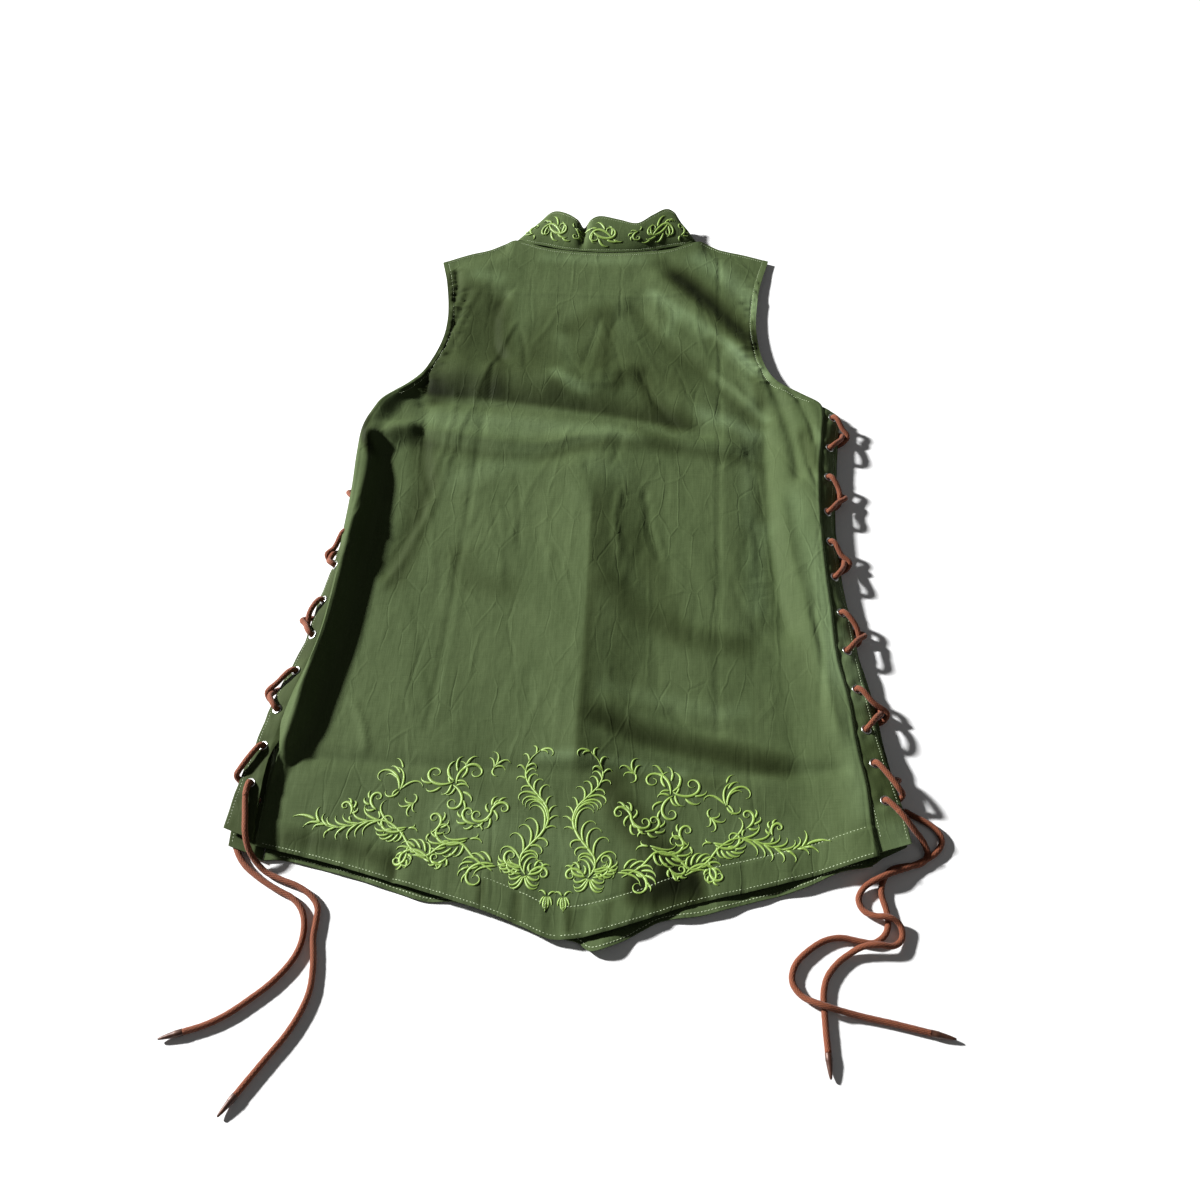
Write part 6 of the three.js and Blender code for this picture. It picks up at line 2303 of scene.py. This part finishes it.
@dataclass
class HemOrnament:
    """Scrollwork over the hem: two plumes, palmettes beside them and a running scroll below."""

    palette: Palette
    cloth: BackCloth
    axis: float = -2.0

    def plume(self, work: Embroidery) -> None:
        """A tall plume on each side of the middle: a double-curved stem with curling barbs.

        Args:
            work: Embroidery that takes the strokes.
        """
        stem = spline(PLUME_STEM, 1.0)
        work.sew(stem, 2.8, 0.3)
        for barbs in (
            (1, (0.36, 0.62), 5, (36, 26), 16, (1.0, 13), 2.5),
            (1, (0.05, 0.27), 5, (27, 31), 20, (1.6, 17), 2.4),
            (1, (0.7, 0.97), 5, (13, 11), 26, (3, 28), 2.1),
            (-1, (0.02, 0.28), 5, (25, 17), 22, (3, 17), 2.3),
            (-1, (0.37, 0.54), 4, (12, 12), 30, (1, 20), 2.1),
            (-1, (0.6, 0.86), 5, (20, 13), 20, (3, 19), 2.3),
        ):
            work.frond(stem, *barbs)
        work.strokes([(0, 0, 30, 18, -3, -24, 2.3, 2), (0, 0, 8, 9, -3, -24, 2.0, 2)], *stem[-1])
        work.strokes(SCROLL[:7], -37, 56, 158, 0.66)
        work.strokes(SMALL_SCROLL, -24, 53, 30, 0.56)
        work.strokes(PALMETTE, -30, 50, 270, 0.72, (1, -1))

    def sprays(self, work: Embroidery) -> None:
        """Palmettes beside the plumes, with scrolled leaves and small sprigs.

        Args:
            work: Embroidery that takes the strokes.
        """
        for turn, size in ((64, 0.95), (180, 0.88), (300, 0.8)):
            place = -100 + 5 * math.cos(math.radians(turn)), 131 + 5 * math.sin(math.radians(turn))
            work.strokes(SMALL_SCROLL, *place, turn, size)
        work.strokes([(6, 6, 46, 21, 2, 10, 2.8), (-4, 6, 128, 20, -2, -9, 2.8)], -100, 131)
        work.strokes(ROCAILLE, -146, 134, 58, 0.95)
        work.strokes(SPRIG, -62, 153, 40)
        work.strokes(SPRIG, -138, 108, 205, 0.9)
        for turn, size in ((236, 0.7), (56, 0.62)):
            work.strokes(SMALL_SCROLL, -64, 106, turn, size)

    def running_scroll(self, work: Embroidery) -> None:
        """Running scroll along the band, from the plumes' feet out to the side seams.

        Args:
            work: Embroidery that takes the strokes.
        """
        for motif, x, y, turn, size, hand in (
            (SCROLL, -62, 58, 196, 0.95, -1), (SCROLL, -88, 76, 184, 1.0, 1),
            (SCROLL, -117, 62, 160, 0.92, -1), (SCROLL, -142, 84, 182, 0.8, 1),
            (SMALL_SCROLL, -80, 94, 150, 0.6, 1), (SMALL_SCROLL, -112, 86, 60, 0.62, -1),
            (SMALL_SCROLL, -168, 104, 120, 0.58, 1), (SMALL_SCROLL, -134, 62, 250, 0.5, 1),
            (SMALL_SCROLL, -188, 99, 100, 0.46, -1), (SMALL_SCROLL, -100, 60, 210, 0.5, 1),
        ):
            work.strokes(motif, x, y, turn, size, (hand,))
        vine = spline(VINE, 1.0)
        work.sew(vine, 2.7, 0.3)
        work.frond(vine, -1, (0.64, 0.93), 7, (26, 16), 12, (1, 11), 2.5)
        work.frond(vine, 1, (0.68, 0.95), 6, (24, 14), 14, (1, 12), 2.5)
        work.strokes(VINE_TIP, *vine[-1], 150)

    def build(self) -> None:
        """Sews the whole hem ornament, with two leaf drops over the hem's point."""
        work = Embroidery(self.palette, "embroidery_hem", self.cloth.place, self.axis)
        self.plume(work)
        self.sprays(work)
        self.running_scroll(work)
        work.strokes(DROP, -9, 32, 266, 1.0, (1, -1))
        work.build()


@dataclass
class CollarOrnament:
    """Three groups of scrolls on the back of the collar."""

    palette: Palette
    cloth: CollarCloth

    def build(self) -> None:
        """Sews the collar's ornament."""
        sides = (
            (62, 22, 30, 1, 1), (77, 26, 208, 0.95, 1), (100, 15, 50, 0.6, -1),
            (39, 32, 235, 0.56, -1),
        )
        middle = ((-13, 25, -28, 1, -1), (4, 23, 154, 0.95, -1))
        for name, axis, groups in (("sides", 0.0, sides), ("middle", None, middle)):
            work = Embroidery(self.palette, f"embroidery_collar_{name}", self.cloth.place, axis)
            for x, y, turn, size, hand in groups:
                rows = [(*row[:6], row[6] * (0.7 + 0.6 * size), *row[7:]) for row in SMALL_SCROLL]
                work.strokes(rows, x, y, turn, size, (hand,))
            work.build()


def across(low: float, high: float, count: int, table: Table, off: float) -> Array:
    """Line of flat places across the garment, off from a line of a table."""
    x = np.linspace(low, high, count)
    return np.stack([x, along(table, x) + off], 1)


@dataclass
class Seams:
    """All the visible machine stitching."""

    palette: Palette
    back: BackCloth
    collar: CollarCloth
    front: FrontPanel
    plackets: list[Plackets]

    def hem(self) -> None:
        """Sews the hem band of the back and the edge of the front."""
        work = Stitching(self.palette, "stitching_hem")
        for up, cut in ((BAND_DEPTH, 6), (EDGE_STITCH, 3)):
            line = across(-262, 270, 400, HEM, up)
            inside = self.back.from_left(*line.T) > cut
            work.run(self.back.place, line[inside & (self.back.from_right(*line.T) > cut)])
        work.run(self.front.place, across(-246, 262, 400, FRONT_HEM, EDGE_STITCH))
        work.build()

    def body(self) -> None:
        """Sews the armholes, the neck, the shoulders and the collar."""
        work = Stitching(self.palette, "stitching_body", 1.9, 2.7, 0.5, 0.4)
        for edge, sign, low, high in ((LEFT_EDGE, 1, 596, 812), (RIGHT_EDGE, -1, 604, 834)):
            y = np.linspace(low, high, 160)
            line = np.stack([along(edge, y), y], 1)
            tangent = unit(np.gradient(line, axis=0))
            inward = np.stack([tangent[:, 1], -tangent[:, 0]], 1) * sign
            work.run(self.back.place, line + inward * self.back.hem_strip)
        for low, high, count, off in (
            (-104, 106, 160, -4.5), (-116, -190, 60, -4), (116, 192, 60, -4)
        ):
            work.run(self.back.place, across(low, high, count, TOP, off))
        for up in COLLAR_ROWS:
            work.run(self.collar.place, [[-100, up], [100, up]])
        work.build()

    def side(self, plackets: Plackets) -> None:
        """Sews both plackets of a side.

        Args:
            plackets: Plackets of the side.
        """
        side = plackets.side
        work = Stitching(self.palette, f"stitching_{side.label}", 2.0, 2.9, 0.5, 0.4)
        for layer in LAYERS:
            y = np.linspace(side.bottom(layer)[1] + 3, side.table["top"][1] - 3, 300)

            def place(a: Array, b: Array) -> Array:
                """Places on this layer's placket."""
                return np.stack([a, b, plackets.top(layer, a * side.sign, b)], -1)

            for inset in PLACKET_ROWS[layer]:
                out = side.outer(layer, y) - inset
                line = np.stack([out * side.sign, y], 1)
                if inset > PLACKET_WIDTH / 2:
                    line = line[out > side.seam(y) + 1.5]
                if len(line) > 4:
                    work.run(place, line)
        work.build()

    def build(self) -> None:
        """Sews the hem, the body and both sides."""
        self.hem()
        self.body()
        for plackets in self.plackets:
            self.side(plackets)


def main() -> None:
    """Builds the garment: camera and cords first, then cloth, eyelets and thread work."""
    logging.basicConfig(level=logging.INFO, format="%(message)s")
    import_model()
    studio = Studio()
    studio.camera()
    palette = Palette()
    sides = [
        Side("left", LEFT_SIDE, LEFT_SEAM, LEFT_SEAM_HEIGHT),
        Side("right", RIGHT_SIDE, RIGHT_EDGE, RIGHT_HEIGHT),
    ]
    Cords(palette, sides).build()
    studio.floor(palette)
    studio.lights()
    back, collar, front = BackCloth(), CollarCloth(), FrontPanel(palette)
    front.build()
    BackPanel(palette, back).build()
    Collar(palette, collar).build()
    plackets = [Plackets(palette, side) for side in sides]
    for pair in plackets:
        pair.build()
        Eyelets(palette, pair.side).build()
    Seams(palette, back, collar, front, plackets).build()
    HemOrnament(palette, back).build()
    CollarOrnament(palette, collar).build()
    for piece in bpy.context.scene.objects:
        if piece.type == "MESH" and not piece.hide_render:
            log.info("%s: %d faces", piece.name, len(piece.data.polygons))


if __name__ == "__main__":
    main()
